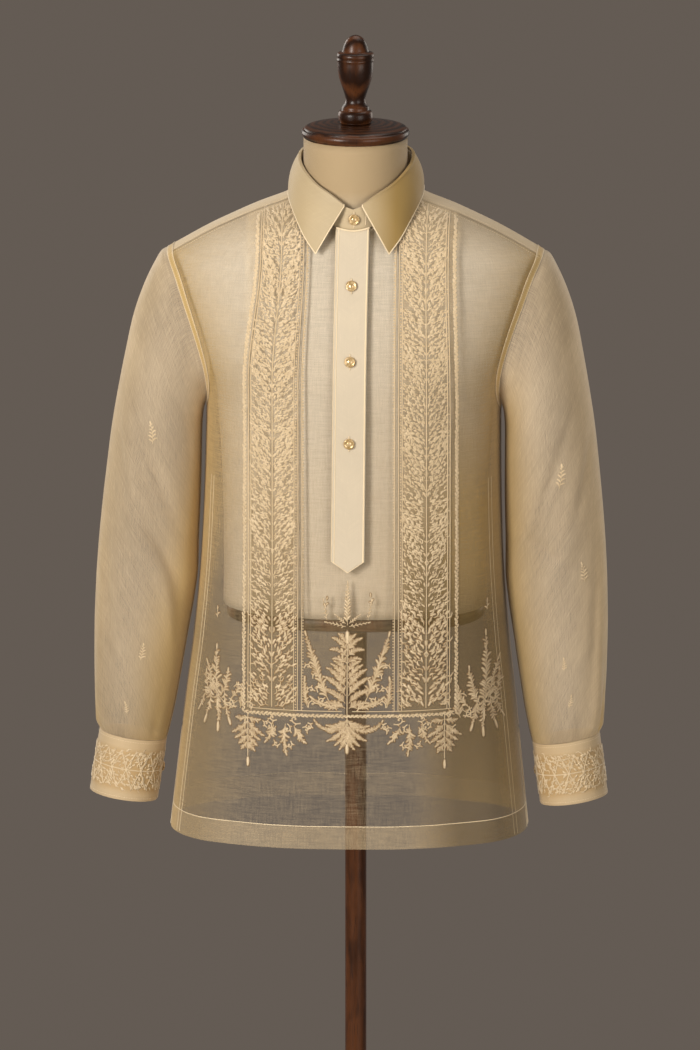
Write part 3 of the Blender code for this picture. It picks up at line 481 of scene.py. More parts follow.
def yoke_grid(inner, outer, rows):
    """From the front seams over the ridge, and from the back neckline, to the back seam."""
    split = YOKE_NECK_SHARE
    side = np.linspace(split, 1, outer + 1)[1:]
    c = np.concatenate((-side[::-1], np.linspace(-split, split, 2 * inner + 1), side))
    seam_y = front_top(np.array([1.0]))[1][0]
    corner = float(half_width(FRONT_CORNER_Z))
    neck_x = neck_share() * corner
    nx, ny = neckline(180 - (180 - seam_angle()) * np.clip(np.abs(c) / split, 0, 1))
    slide = np.clip((np.abs(c) - split) / (1 - split), 0, 1)
    start_x = np.where(slide > 0, neck_x + (corner - neck_x) * slide, nx)
    start_y = np.where(slide > 0, seam_y, ny)
    start_y = start_y + SEAM_GAP * (start_y <= seam_y + 1e-9)
    end_x, end_y, end_z = back_top(np.abs(c))
    edge = np.isclose(np.abs(c), 1)
    hole_z = np.linspace(1.36, SHOULDER_Z, 120)
    grid = []
    for t in np.linspace(0, 1, rows):
        x = start_x + (end_x - start_x) * t
        y = start_y + (end_y - start_y) * t
        # the outer edges follow the upper part of the armhole
        front_z, back_z = (np.interp(side * y, armhole_depth(hole_z, side)[::-1], hole_z[::-1]) for side in (-1, 1))
        arm_z = np.where(y < 0, front_z, back_z)
        x = np.where(edge, half_width(arm_z), x)
        z = np.where(edge, arm_z, shoulder_z(x, y))
        z = end_z + SEAM_GAP if t == 1 else z
        grid.append(np.stack((x * np.where(c < 0, -1, 1), y, z), 1))
    return np.array(grid)


def sleeve_grid(side, rings, sides):
    """Rings from the armhole (row 0) to the cuff; columns start at the outer line, front first."""
    angle = np.linspace(0, 2 * pi, sides, endpoint=False)
    s, front = np.cos(angle), np.sin(angle) > 0
    hole_z = HOLE_MIDDLE + HOLE_HALF * s
    hole = np.where(front, armhole_depth(hole_z, -1) / SLEEVE["front"][0],
                    armhole_depth(hole_z, 1) / SLEEVE["back"][0])
    low_x, high_x = half_width(UNDERARM_Z), half_width(SHOULDER_Z)
    straight_x = low_x + (high_x - low_x) * (s + 1) / 2
    rows = []
    for ring in rings:
        at = {name: smooth(np.arange(LAST_RING + 1.0), column, ring) for name, column in SLEEVE.items()}
        fade = np.clip(1 - ring / ARMHOLE_FADE_RINGS, 0, 1)
        x, z = ((at["outer_" + k] + at["inner_" + k]) / 2 + (at["outer_" + k] - at["inner_" + k]) / 2 * s
                for k in "xz")
        x = x + (half_width(hole_z) - straight_x) * fade + SEAM_GAP * (ring == 0)
        across = np.abs(np.sin(angle)) * (1 - fade) + hole * fade
        y = at["middle_y"] + np.where(front, -at["front"], at["back"]) * across
        rows.append(np.stack((x, y, z), 1))
    grid, ring = np.array(rows), np.asarray(rings, float)[:, None]
    lift = np.zeros((len(rings), sides))
    for fold_side, place, middle, reach, length, height, twist in SLEEVE_FOLDS + FINE_SLEEVE_FOLDS:
        if fold_side == side:
            off = (np.degrees(angle) - place - twist * (ring - middle) + 180) % 360 - 180
            lift += height * np.exp(-(off / reach) ** 2 - ((ring - middle) / length) ** 2)
    held = np.clip(ring / 2, 0, 1) * np.clip(LAST_RING - ring, 0, 1)
    grid = grid - normals(grid, closed=True) * (lift * held)[..., None]
    grid[..., 0] *= side
    return grid


def cuff_grid(side, rows, sides):
    """Band that goes on from the sleeve's last ring, along the lower arm."""
    ring = sleeve_grid(1, (LAST_RING - 1, LAST_RING), sides)[-1]
    middle, drop = ring.mean(axis=0), np.array(CUFF_DROP)
    start = drop / np.linalg.norm(drop) * SEAM_GAP
    grid = np.array([middle + (ring - middle) * (1 + (CUFF_END_SCALE - 1) * t) + start + drop * t
                     for t in np.linspace(0, 1, rows)])
    grid[..., 0] *= side
    return grid


def fold_z(angle):
    """Height of the fold, the same on both sides, falling to the stand's top at centre front."""
    a = np.abs((np.asarray(angle, float) + 180) % 360 - 180)
    first, first_z = COLLAR["angle"][0], COLLAR["fold_z"][0]
    rise = smooth(COLLAR["angle"], COLLAR["fold_z"], a)
    return np.where(a < first, STAND_FRONT_Z + (first_z - STAND_FRONT_Z) * a / first, rise)


def stand_grid(rows, front_sides, back_sides):
    """Ring from the neckline up to just under the fold, divided as the neckline's edges are."""
    corner = seam_angle()
    angle = np.concatenate((np.linspace(-corner, corner, front_sides, endpoint=False), np.linspace(corner,
        360 - corner, back_sides, endpoint=False)))
    low = (*neckline(angle), shoulder_z(*neckline(angle)) + SEAM_GAP)
    top = (*fold_line(angle), fold_z(angle) - COLLAR_WALL - LAY_GAP - STAND_DROP)
    grid = []
    for t in np.linspace(0, 1, rows):
        ease = t * t * (3 - 2 * t) * 0.4 + t * 0.6
        grid.append(np.stack([a + (b - a) * share for a, b, share in zip(low, top, (ease, ease, t))], 1))
    return np.array(grid)


def leaf_grid(columns, rows):
    """Collar leaf: a small roll over the stand, then a slightly bowed fall to its edge."""
    first = COLLAR["angle"][0]
    angle = first + (360 - 2 * first) * np.linspace(0, 1, columns)
    mirrored = np.where(angle > 180, 360 - angle, angle)
    fx, fy = fold_line(mirrored)
    ex, ey, ez = (smooth(COLLAR["angle"], COLLAR["edge_" + axis], mirrored) for axis in "xyz")
    inward = 1 - 1.4 * COLLAR_WALL / np.hypot(ex, ey)
    floor = shoulder_z(ex * inward, ey * inward) + LEAF_CLEAR
    ez = np.where(np.hypot(ex / NECK_HALF_WIDTH, ey / NECK_FRONT) > 1, np.maximum(ez, floor), ez)
    out = unit(np.stack((fx / FOLD_HALF_WIDTH ** 2, fy / FOLD_FRONT ** 2), 1))

    def off(outward, up=0.0):
        return np.column_stack((out * outward, np.full(columns, up)))

    fold = np.stack((fx, fy, fold_z(mirrored)), 1)
    turned, edge = fold + off(ROLL, -0.0026), np.stack((ex, ey, ez), 1)
    grid = [fold - off(COLLAR_WALL / 2), fold + off(ROLL - 0.0008, -0.0005), turned]
    grid += [turned + (edge - turned) * t + off(LEAF_BULGE * 4 * t * (1 - t)) for t in np.linspace(0, 1, rows)[1:]]
    grid = np.array(grid)
    grid[..., 0] *= np.where(angle > 180, -1.0, 1.0)
    return grid


def lean_at(z):
    """How far the shirt's slight sideways hang moves it at a height."""
    return LEAN * (z - LEAN_PIVOT_Z)


def leaned(grid):
    moved = np.array(grid, dtype=float)
    moved[..., 0] += lean_at(moved[..., 2])
    return moved


def form_grid(sides, steps):
    """Level loops of the half torso, its flat arm ends and its neck."""
    angle = np.linspace(0, 2 * pi, sides, endpoint=False)
    ca, sa = np.cos(angle), np.sin(angle)
    # distance from the frame's axis to the round neck, whose middle lies a little forward
    off = NECK_MIDDLE_Y * sa
    neck = off + np.sqrt(off * off + NECK_RADIUS ** 2 - NECK_MIDDLE_Y ** 2)
    grid = []
    trunk_z = np.linspace(FORM["z"][0], FORM_SHOULDER_Z, steps, endpoint=False)
    shoulders_z = np.linspace(FORM_SHOULDER_Z, NECK_BACK_Z, steps, endpoint=False)
    neck_z = np.linspace(NECK_BACK_Z, NECK_TOP_Z - LAY_GAP, 6)
    for z in np.concatenate((trunk_z, shoulders_z, neck_z)):
        level = min(z, NECK_BACK_Z)
        inset = {key: float(smooth(FORM["z"], FORM[key], level)) for key in FORM if key != "z"}
        radius = np.zeros(sides)
        for side, name in ((-1, "front"), (1, "back")):
            width, depth, power = half_axes(level, side)
            width = float(width) - inset["side_inset"]
            depth = float(depth) - inset[name + "_inset"]
            power = power - FORM_ROUNDER * np.clip((z - UNDERARM_Z) / (FORM_SHOULDER_Z - UNDERARM_Z), 0, 1)
            part = (np.abs(ca / width) ** power + np.abs(sa / depth) ** power) ** (-1 / power)
            radius = np.where(sa * side >= 0, part, radius)
        radius = radius * np.clip((NECK_BACK_Z - z) / 0.02, 0, 1)
        if z > FORM_SHOULDER_Z:
            radius = ((radius * 1000) ** NECK_BLEND + (neck * 1000) ** NECK_BLEND) ** (1 / NECK_BLEND) / 1000
        x, y = radius * ca, radius * sa
        if z < SHOULDER_Z:
            arm_end = float(half_width(level)) - FORM_ARM_CLEAR
            x = np.clip(x, -arm_end, arm_end)
        grid.append(np.stack((x, y, np.full(sides, z)), 1))
    return np.array(grid)


def plate_grid():
    """Level loops of the dark plate that closes the torso from below, with eased edges."""
    loop = form_grid(120, 6)[0]
    radial = unit((loop - (0.0, loop[:, 1].mean(), 0.0)) * (1, 1, 0))
    grid = []
    for drop, inset in ((PLATE_THICKNESS, 0.003), (PLATE_THICKNESS - 0.002, 0.0), (0.002, 0.0), (0.0, 0.003)):
        level = loop - radial * (PLATE_INSET + inset)
        level[:, 2] = PLATE_TOP_Z - drop
        grid.append(level)
    return np.array(grid)


def placket_place(z):
    """Middle of a button on the placket, and the way it faces."""
    step = 0.004
    rise = float(depth_at(0.0, z + step, -1) - depth_at(0.0, z - step, -1)) / (2 * step)
    outward = Vector((0.0, -1.0, -rise)).normalized()
    off = SHEER_WALL + PLACKET_GAP + 3 * LAY_GAP
    return Vector((0.0, -float(depth_at(0.0, z, -1)), z)) + outward * off, outward


def stand_place(x, z):
    """Middle of the button on the collar stand."""
    low = float(shoulder_z(*neckline(0.0)))
    y = -NECK_FRONT + (NECK_FRONT - FOLD_FRONT) * (z - low) / (STAND_FRONT_Z - low)
    return Vector((x, y - 2 * LAY_GAP, z)), Vector((0.0, -1.0, 0.0))


def cuff_place(side):
    """Middle of the button on the hidden outer back of a cuff."""
    grid = cuff_grid(side, 3, 22)
    column = int(round(CUFF_BUTTON_ANGLE / 360 * 22))
    point = Vector(grid[1, column])
    down = Vector(grid[2, column] - grid[0, column]).normalized()
    across = Vector(grid[1, column + 1] - grid[1, column - 1]).normalized()
    outward = across.cross(down).normalized()
    if outward.dot(point - Vector(grid[1].mean(axis=0))) < 0:
        outward = -outward
    return point + outward * (3 * LAY_GAP), outward


# ---- making meshes ----

def mesh_object(name, points, faces, uv, masks):
    data = bpy.data.meshes.new(name)
    data.from_pydata(np.asarray(points).tolist(), [], [list(map(int, face)) for face in faces])
    data.update()
    data.polygons.foreach_set("use_smooth", [True] * len(data.polygons))
    data.uv_layers.new(name="lay").data.foreach_set("uv", np.asarray(uv, dtype=np.float32).ravel())
    for key, values in masks.items():
        made = data.attributes.new(key, "FLOAT", "POINT")
        made.data.foreach_set("value", np.asarray(values, dtype=np.float32).ravel())
    made = bpy.data.objects.new(name, data)
    bpy.context.scene.collection.objects.link(made)
    return made


def grid_object(name, grid, closed=False, flip=False, **masks):
    """Sheet of squares through a grid of points, with its UV map in metres of cloth."""
    rows, columns = grid.shape[:2]
    r, c = (part.ravel() for part in np.meshgrid(np.arange(rows - 1), np.arange(columns - (not closed)),
        indexing="ij"))
    corners = ((r, c), (r, c + 1), (r + 1, c + 1), (r + 1, c))
    faces = np.stack([i * columns + j % columns for i, j in corners], 1)
    wide = closed_up(grid) if closed else grid
    across = np.array([distances(row) for row in wide])
    across -= across[:, across.shape[1] // 2][:, None]
    if closed:
        across[:] = across.mean(axis=0)
    up = np.array([distances(column) for column in wide.transpose(1, 0, 2)]).T
    uv = np.stack([np.stack((across[i, j], up[i, j]), 1) for i, j in corners], 1)
    if flip:
        faces, uv = faces[:, ::-1], uv[:, ::-1]
    return mesh_object(name, grid.reshape(-1, 3), faces, uv, masks)


def thicken(made, wall, rim):
    """Gives folded cloth its thickness, with softened edges."""
    shell = made.modifiers.new("wall", "SOLIDIFY")
    shell.thickness, shell.offset = wall, -1.0
    edge = made.modifiers.new("soft edges", "BEVEL")
    edge.width, edge.segments = rim, 2
    edge.limit_method, edge.angle_limit = "ANGLE", radians(50)
    edge.harden_normals = False


def turned_object(name, profile, sides, middle_y):
    """Smooth turning through a (radius, height) profile listed from the top down."""
    line = np.array(profile)
    for _ in range(2):
        cut = [np.array((a * 0.78 + b * 0.22, a * 0.22 + b * 0.78)) for a, b in zip(line[:-1], line[1:])]
        line = np.concatenate((line[:1], *cut, line[-1:]))
    line[:, 0] = np.maximum(line[:, 0], 0.0004)
    angle = np.linspace(0, 2 * pi, sides, endpoint=False)
    radius, height = line[::-1, :1], line[::-1, 1:]
    grid = np.stack((radius * np.cos(angle), radius * np.sin(angle) + middle_y, height + 0 * angle), 2)
    return grid_object(name, grid, closed=True)


def capped_object(name, grid, **masks):
    """Closed form through level loops, with a fan at each end."""
    made = grid_object(name, grid, closed=True, **masks)
    mesh = bmesh.new()
    mesh.from_mesh(made.data)
    sides = grid.shape[1]
    for row in (0, len(grid) - 1):
        mesh.verts.ensure_lookup_table()
        loop = [mesh.verts[row * sides + c] for c in range(sides)]
        middle = mesh.verts.new(grid[row].mean(axis=0))
        for a, b in zip(loop, loop[1:] + loop[:1]):
            mesh.faces.new((a, b, middle)).smooth = True
    bmesh.ops.recalc_face_normals(mesh, faces=mesh.faces)
    mesh.to_mesh(made.data)
    mesh.free()
    return made


# ---- places on the cloth ----

class Surface:
    """Finds points on finished cloth, so that stitches lie on it."""

    def __init__(self, *objects):
        points, faces = [], []
        for made in objects:
            start = len(points)
            points += [vertex.co.copy() for vertex in made.data.vertices]
            faces += [[start + k for k in face.vertices] for face in made.data.polygons]
        self.tree = BVHTree.FromPolygons(points, faces)

    def from_front(self, places):
        """Points and normals at places (x, z) seen from the front; places off the cloth give NaN."""
        found = np.full((len(places), 2, 3), np.nan)
        for k, (x, z) in enumerate(places):
            point, normal, _, _ = self.tree.ray_cast(Vector((x, -1.0, z)), Vector((0.0, 1.0, 0.0)))
            if point is not None:
                found[k] = point, normal if normal.y < 0 else -normal
        return found[:, 0], found[:, 1]

    def nearest(self, points, outward):
        """Nearest points on the cloth, with normals on the side that outward points to."""
        found = np.zeros((len(points), 2, 3))
        for k, (start, side) in enumerate(zip(points, outward)):
            point, normal, _, _ = self.tree.find_nearest(Vector(start))
            found[k] = point, normal if normal.dot(Vector(side)) > 0 else -normal
        return found[:, 0], found[:, 1]


class Band:
    """Finds points round a tube of cloth, by distance round it and height up it."""

    def __init__(self, grid):
        self.grid = grid[::-1]
        self.round = distances(np.concatenate((self.grid[0], self.grid[0][:1])))
        self.tall = float(np.linalg.norm(self.grid[-1].mean(0) - self.grid[0].mean(0)))

    def place(self, places):
        rows, columns = self.grid.shape[:2]
        c = np.interp(places[:, 0] % self.round[-1], self.round, np.arange(columns + 1))
        r = np.clip(places[:, 1] / self.tall, 0, 1) * (rows - 1)
        c0, r0 = np.floor(c).astype(int) % columns, np.minimum(np.floor(r).astype(int), rows - 2)
        c1, fc, fr = (c0 + 1) % columns, (c % 1)[:, None], (r - r0)[:, None]
        a, b, e, f = self.grid[r0, c0], self.grid[r0, c1], self.grid[r0 + 1, c0], self.grid[r0 + 1, c1]
        point = (a * (1 - fc) + b * fc) * (1 - fr) + (e * (1 - fc) + f * fc) * fr
        normal = facing(np.cross(b - a, e - a), point - self.grid.mean(axis=(0, 1)))
        return point, unit(normal)


# ---- needlework ----

LENS_ALONG = (0.0, 0.17, 0.48, 0.84, 1.0)
LENS_WIDTH = (0.0, 0.74, 1.0, 0.80, 0.0)
LENS_FACES = ((0, 1, 2), (0, 2, 3), (1, 4, 5, 2), (2, 5, 6, 3), (4, 7, 8, 5), (5, 8, 9, 6), (7, 10, 8), (8, 10, 9))
# rim: 1 at a leaf's edge, where painted shade deepens, and 0 on its ridge
LENS_RIM = (1, 1, 0, 1, 1, 0, 1, 1, 0, 1, 1)
SHADOW_LEAF_TONE = -1.8  # tone of a dark leaf beneath the others, painted as their shadow
FLAT_BELOW = -1.5  # leaves with a lower tone lie flatter


class Needlework:
    """Gathers satin leaves, cords and knots, then makes them one raised mesh."""

    def __init__(self, lift=0.0002):
        self.points, self.faces, self.tone, self.uv, self.rim = [], [], [], [], []
        self.count, self.lift = 0, lift

    def add(self, points, faces, times, tone, uv, rim):
        """Adds rows of points, with faces that start again at each row so many times, the tone of each row, the
        points' places on the thread, and 1 for a point at the edge, where painted shade deepens, against 0 on the
        ridge."""
        rows, size = points.shape[:2]
        self.faces += [tuple(self.count + size * n + k for k in face) for n in range(times) for face in faces]
        self.points.append(points.reshape(-1, 3))
        self.uv.append(uv.reshape(-1, 2))
        self.tone.append(np.repeat(tone, size))
        self.rim.append(np.tile(np.asarray(rim, float), rows))
        self.count += rows * size

    def lenses(self, start, middle, end, normal, *sizes):
        """Satin-stitched leaves that bend through three points each, with their widths, heights and tones."""
        keep = ~np.isnan(start + middle + end + normal).any(axis=1)
        start, middle, end, normal, width, height, tone = (part[keep] for part in (start, middle, end, normal, *sizes))
        if not len(start):
            return
        run = end - start
        length, across = np.linalg.norm(run, axis=1), unit(np.cross(normal, run))
        knee = 2 * middle - (start + end) / 2
        parts, flat = [], []
        for t, share in zip(LENS_ALONG, LENS_WIDTH):
            centre = (1 - t) ** 2 * start + 2 * t * (1 - t) * knee + t * t * end + normal * self.lift
            half, top = (width * share / 2)[:, None] * across, centre + normal * height[:, None]
            for s, point in ((1, centre + half), (0, top), (-1, centre - half)) if share else ((0, centre),):
                parts.append(point)
                flat.append(np.stack((t * length, s * width * share / 2), 1))
        self.add(np.stack(parts, 1), LENS_FACES, len(start), tone, np.stack(flat, 1), LENS_RIM)

    def leaves(self, place, leaves, under=0.0):
        """Leaves listed as x, z, aim in degrees, length, width, bend, tone, laid on a surface.
        Under gives how far a dark leaf, painted as shadow, shows all round beneath each one."""
        rows = np.array(leaves, float)
        # dark leaves painted as shadow, a little larger than the leaves they lie beneath
        if under:
            low = rows[rows[:, 6] > FLAT_BELOW]
            aim = np.radians(low[:, 2])
            low[:, :2] -= under * np.stack((np.cos(aim), np.sin(aim)), 1)
            low[:, 3:5] += 2 * under
            low[:, 6] = SHADOW_LEAF_TONE
            rows = np.concatenate((low, rows))
        aim, tone = np.radians(rows[:, 2]), rows[:, 6]
        along = np.stack((np.cos(aim), np.sin(aim)), 1)
        beside = np.stack((-along[:, 1], along[:, 0]), 1)
        start, end = rows[:, :2], rows[:, :2] + along * rows[:, 3:4]
        middle = (start + end) / 2 + beside * (rows[:, 3] * rows[:, 5])[:, None]
        points, ways = place(np.concatenate((start, middle, end)))
        n = len(rows)
        height = np.minimum(rows[:, 4] * 0.48, 0.0012) * np.where(tone < FLAT_BELOW, 0.35, 1.0)
        height *= np.interp(rows[:, 1], (1.00, 1.16), (1.0, 0.42))
        self.lenses(points[:n], points[n:2 * n], points[2 * n:], ways[n:2 * n], rows[:, 4], height, tone)

    def cord(self, points, normal, width, height, tone=0.5):
        """Raised cord along points that already lie on the cloth."""
        keep = ~np.isnan(points + normal).any(axis=1)
        points, normal = points[keep], normal[keep]
        count = len(points)
        if count < 2:
            return
        across = unit(np.cross(normal, np.gradient(points, axis=0))) * width / 2
        base = points + normal * self.lift
        rows = np.stack((base + across, base + normal * height, base - across), 1)
        uv = np.stack([np.stack((distances(points), np.full(count, s * width / 2)), 1) for s in (1, 0, -1)], 1)
        self.add(rows, ((0, 3, 4, 1), (1, 4, 5, 2)), count - 1, np.full(count, tone), uv, (1, 0, 1))

    def lines(self, place, lines):
        """Cords listed as a path of (x, z), width and height."""
        for path, width, height in lines:
            self.cord(*place(np.asarray(path, float)), width, height)

    def knots(self, place, knots):
        """Small round knots listed as x, z, radius, tone."""
        rows = np.array(knots, float)
        points, normal = place(rows[:, :2])
        keep = ~np.isnan(points).any(axis=1)
        points, normal, rows = points[keep], normal[keep], rows[keep]
        across = unit(np.cross(normal, (0.0, 0.0, 1.0)))
        upward = np.cross(across, normal)
        radius = rows[:, 2:3]
        turns = [(cos(a), sin(a)) for a in np.arange(6) * pi / 3]
        parts = [points + normal * self.lift + radius * (across * c + upward * s) for c, s in turns]
        parts.append(points + normal * (self.lift + radius * 0.8))
        uv = np.stack([radius * turn for turn in turns] + [np.zeros((len(rows), 2))], 1)
        self.add(np.stack(parts, 1), [(k, (k + 1) % 6, 6) for k in range(6)], len(rows), rows[:, 3], uv,
            (1, 1, 1, 1, 1, 1, 0))

    def running(self, points, normal, stitch, gap, width, tone):
        """Row of small straight stitches along a path on the cloth."""
        length = distances(points)
        starts = np.arange(gap / 2, length[-1] - stitch, stitch + gap)
        places = (points_at(starts + late, length, points) for late in (0, stitch / 2, stitch))
        sizes = (np.full(len(starts), size) for size in (width, width * 0.45, tone))
        self.lenses(*places, points_at(starts + stitch / 2, length, normal), *sizes)

    def make(self, name, even=False):
        """The raised mesh. Unless even, the work is paler towards the shoulders, with less painted shade at the
        leaves' edges there.
        """
        points = np.concatenate(self.points)
        high = 0.8 if even else np.interp(points[:, 2], (0.98, 1.20), (0.0, 1.0))
        tone = np.concatenate(self.tone) * (1 - 0.5 * high) - 0.44 + 0.14 * high
        rim = np.concatenate(self.rim) * (1 - 0.75 * high)
        order = [k for face in self.faces for k in face]
        return mesh_object(name, points, self.faces, np.concatenate(self.uv)[order], {"tone": tone, "rim": rim})


def mirrored(aim, hand):
    return aim if hand > 0 else 180 - aim


def frond(x, z, aim, length, spread, pairs, leaf, rng, bend=0.0, width=0.40, flare=40.0, tip=1.25, plump=0.0, wild=0.0,
        dim=0.0):
    """Leafy spray: a curved stem, pairs of leaves beside it, a leaf at its tip and one plump leaf beneath, over a
    wider dark leaf painted as its shadow.
    Wild makes the leaves uneven, dim makes them darker."""
    ts = np.linspace(0, 1, 9)
    turn = radians(aim) + radians(bend) * (ts - 0.5)
    px, pz = (start + np.concatenate(([0], np.cumsum(way(turn[:-1]) * (length / 8)))) for start, way in ((x, np.cos),
        (z, np.sin)))
    leaves = []
    for k in range(pairs):
        t = 0.08 + 0.84 * k / max(pairs - 1, 1)
        way = np.degrees(np.interp(t, ts, turn))
        reach = spread * (0.55 + 0.45 * sin(pi * min(1.0, 0.25 + t * 0.62))) * (1.15 - 0.60 * t)
        for hand in (1, -1):
            size = reach * rng.uniform(0.88 - wild, 1.10 + wild)
            late = t + (0.40 / pairs if hand < 0 else 0.0)
            leaf_aim = way + hand * (flare - 12 * t + rng.uniform(-5, 5) * (1 + 12 * wild))
            leaf_bend = -hand * (0.14 + 0.8 * wild * rng.uniform(-0.4, 1))
            leaf_width = min(max(size, leaf) * width * 1.15, 0.0036)
            leaves.append((np.interp(late, ts, px), np.interp(late, ts, pz), leaf_aim, size, leaf_width, leaf_bend,
                           rng.uniform(0, 1) - dim))
    leaves.append((px[-1], pz[-1], np.degrees(turn[-1]), leaf * tip, leaf * max(0.5, 0.34 * tip), 0.0, 1.0 - dim))
    if plump:
        half = radians(bend) / 2
        place = (x, z, aim, length * 0.97 * (sin(half) / half if bend else 1.0))
        sag = -tan(half / 2) / 2
        # a wider dark leaf painted as shadow beneath the spray, and the plump leaf over it
        leaves = [(*place, plump * 1.6, sag, SHADOW_LEAF_TONE)] + leaves + [(*place, plump, sag, 0.6 - dim)]
    return leaves, [(np.stack((px, pz), 1), max(0.0009, leaf * 0.2), 0.0007)]


def scroll(x, z, aim, size, hand, rng, leaf=0.0045):
    """Curling tendril with small leaves on its outer side and a knot in its eye."""
    turn = radians(aim)
    path, leaves, step = [(x, z)], [], size / 9
    for k in range(15):
        turn += hand * (0.10 + 0.035 * k)
        x, z = x + cos(turn) * step * (1 - k / 24), z + sin(turn) * step * (1 - k / 24)
        path.append((x, z))
        if k % 4 == 1 and k < 12:
            leaves.append((x, z, np.degrees(turn) - hand * 30, leaf * rng.uniform(0.85, 1.1), leaf * 0.42, hand * 0.15,
                rng.uniform(0, 1)))
    return leaves, [(np.array(path), 0.0019, 0.0010)], [(x, z, 0.0019, rng.uniform(0, 1))]


# Places of the needlework on the front, as x and z seen from the front
BANDS = (
    # outer braid, outer cords, leaf field, stem, inner cords, dotted lines, narrowing and shift at the top
    dict(braid=-0.1252, cords=(-0.1206, -0.1178), field=(-0.1150, -0.0690), stem=-0.0925,
         inner=(-0.0668, -0.0622, -0.0575), dots=(-0.0645, -0.0560), narrow=0.14, shift=0.0095),
    dict(braid=0.1222, cords=(0.1112, 0.1140), field=(0.0615, 0.1090), stem=0.0872,
         inner=(0.0505, 0.0550, 0.0592), dots=(0.0490, 0.0572), narrow=0.05, shift=-0.0018),
)
BORDER_LOW, BORDER_HIGH = 0.8814, 0.8874
BANDS_TOP = 1.475
MIDDLE_X = -0.0042
GARLAND_TURNS = 14
BRAID_PITCH = 0.0046


def straight(x0, z0, x1, z1, step=0.003):
    count = max(2, int(np.hypot(x1 - x0, z1 - z0) / step) + 1)
    return np.stack((np.linspace(x0, x1, count), np.linspace(z0, z1, count)), 1)


def braid(x0, z0, x1, z1, rng):
    """Chain of slanting leaves with smaller ones between them."""
    run = np.hypot(x1 - x0, z1 - z0)
    aim = np.degrees(np.arctan2(z1 - z0, x1 - x0))
    leaves = []
    for k in range(int(run / BRAID_PITCH)):
        for hand, late, size, wide in ((1, 0.0, 0.0066, 0.0034), (-1, 0.5, 0.0052, 0.0024)):
            s = (k + late) * BRAID_PITCH / run
            x = x0 + (x1 - x0) * s - cos(radians(aim + 90)) * hand * 0.0011
            z = z0 + (z1 - z0) * s - sin(radians(aim + 90)) * hand * 0.0011
            leaf_aim = aim + hand * (27 + rng.uniform(-7, 7))
            leaves.append((x, z, leaf_aim, size * rng.uniform(0.9, 1.1), wide, hand * 0.12, rng.uniform(0.2, 1)))
    return leaves


def leaf_field(low_x, high_x, stem_x, low_z, high_z, leaf, rng, apart=0.98):
    """Close field of leafy branches that climb from a middle stem, alike on both its sides."""
    leaves, knots = [], []
    lines = [(straight(stem_x, low_z, stem_x, high_z), 0.0015, 0.0008)]
    z, turn = low_z - 0.030, 0
    while z < high_z:
        tilt = radians(47 + 8 * sin(z * 61) + rng.uniform(-3, 3))
        step = leaf * 0.52
        reach = max(high_x - stem_x, stem_x - low_x) / cos(tilt)
        for k in range(1, int(reach / step) + 1):
            s = k * step + rng.uniform(-0.15, 0.15) * step
            lz = z + sin(tilt) * s * (1 + 0.12 * s / reach)
            side = 1 if (k + turn) % 2 else -1
            aim = np.degrees(tilt) + side * (15 + rng.uniform(-13, 13))
            size = leaf * rng.uniform(0.80, 1.25)
            wide, bend, tone = size * rng.uniform(0.38, 0.50), rng.uniform(-0.24, 0.24), rng.uniform(0, 1)
            if rng.uniform(0, 1) < 0.35:
                wide, bend, size = size * 0.26, rng.choice((-0.42, 0.42)), size * 1.2
            for hand in (1, -1):
                x = stem_x + hand * (cos(tilt) * s - side * sin(tilt) * leaf * 0.17)
                if low_x < x < high_x and low_z + 0.001 < lz < high_z:
                    leaves.append((x, lz, mirrored(aim, hand) + rng.uniform(-5, 5), size, wide, hand * bend, tone))
            if rng.uniform(0, 1) < 0.16:
                for hand in (1, -1):
                    x = stem_x + hand * (cos(tilt) * s + leaf * 0.45)
                    if low_x < x < high_x and low_z < lz < high_z:
                        knots.append((x, lz - leaf * 0.4, 0.0011, rng.uniform(0, 1)))
        z += leaf * apart
        turn += 1
    return leaves, lines, knots


def band_lean(band, place):
    """Lays a band's work, a little narrower and nearer the middle towards the shoulder."""
    middle = (band["braid"] + band["dots"][-1]) / 2

    def laid(places):
        places = np.array(places, float)
        high = np.clip((places[:, 1] - 1.27) / 0.15, 0, 1)
        high = high * high * (3 - 2 * high)
        x = middle + (places[:, 0] - middle) * (1 - band["narrow"] * high) + band["shift"] * high
        return place(np.stack((x, places[:, 1]), 1))

    return laid


def bands_and_border(work, place, rng):
    """The two upright bands, from the shoulder seams down, and the line that joins them."""
    for band in BANDS:
        laid = band_lean(band, place)
        # leaves grow finer upward: from and to which height, leaf length, dark leaf beneath painted as shadow
        for low_z, high_z, leaf, under in ((BORDER_HIGH + 0.003, 1.00, 0.0072, 0.0005), (1.00, 1.14, 0.0060, 0.0),
                                           (1.14, BANDS_TOP, 0.0052, 0.0)):
            leaves, lines, knots = leaf_field(*band["field"], band["stem"], low_z, high_z, leaf, rng)
            work.leaves(laid, leaves, under)
            work.lines(laid, lines)
            work.knots(laid, knots)
        work.leaves(laid, braid(band["braid"], BORDER_LOW, band["braid"], BANDS_TOP, rng))
        cords = band["cords"] + band["inner"]
        work.lines(laid, [(straight(x, BORDER_HIGH, x, BANDS_TOP), 0.0014, 0.0009) for x in cords])
        dots_z = np.arange(BORDER_HIGH, BANDS_TOP, 0.0034)
        work.knots(laid, [(x, z, 0.0011, rng.uniform(0, 1)) for x in band["dots"] for z in dots_z])
    left, right = (band["braid"] for band in BANDS)
    work.leaves(place, braid(left, BORDER_LOW, right, BORDER_LOW, rng))
    for x0, x1 in ((left + 0.006, MIDDLE_X - 0.006), (MIDDLE_X + 0.006, right - 0.006)):
        work.lines(place, [(straight(x0, BORDER_HIGH, x1, BORDER_HIGH), 0.0013, 0.0008)])


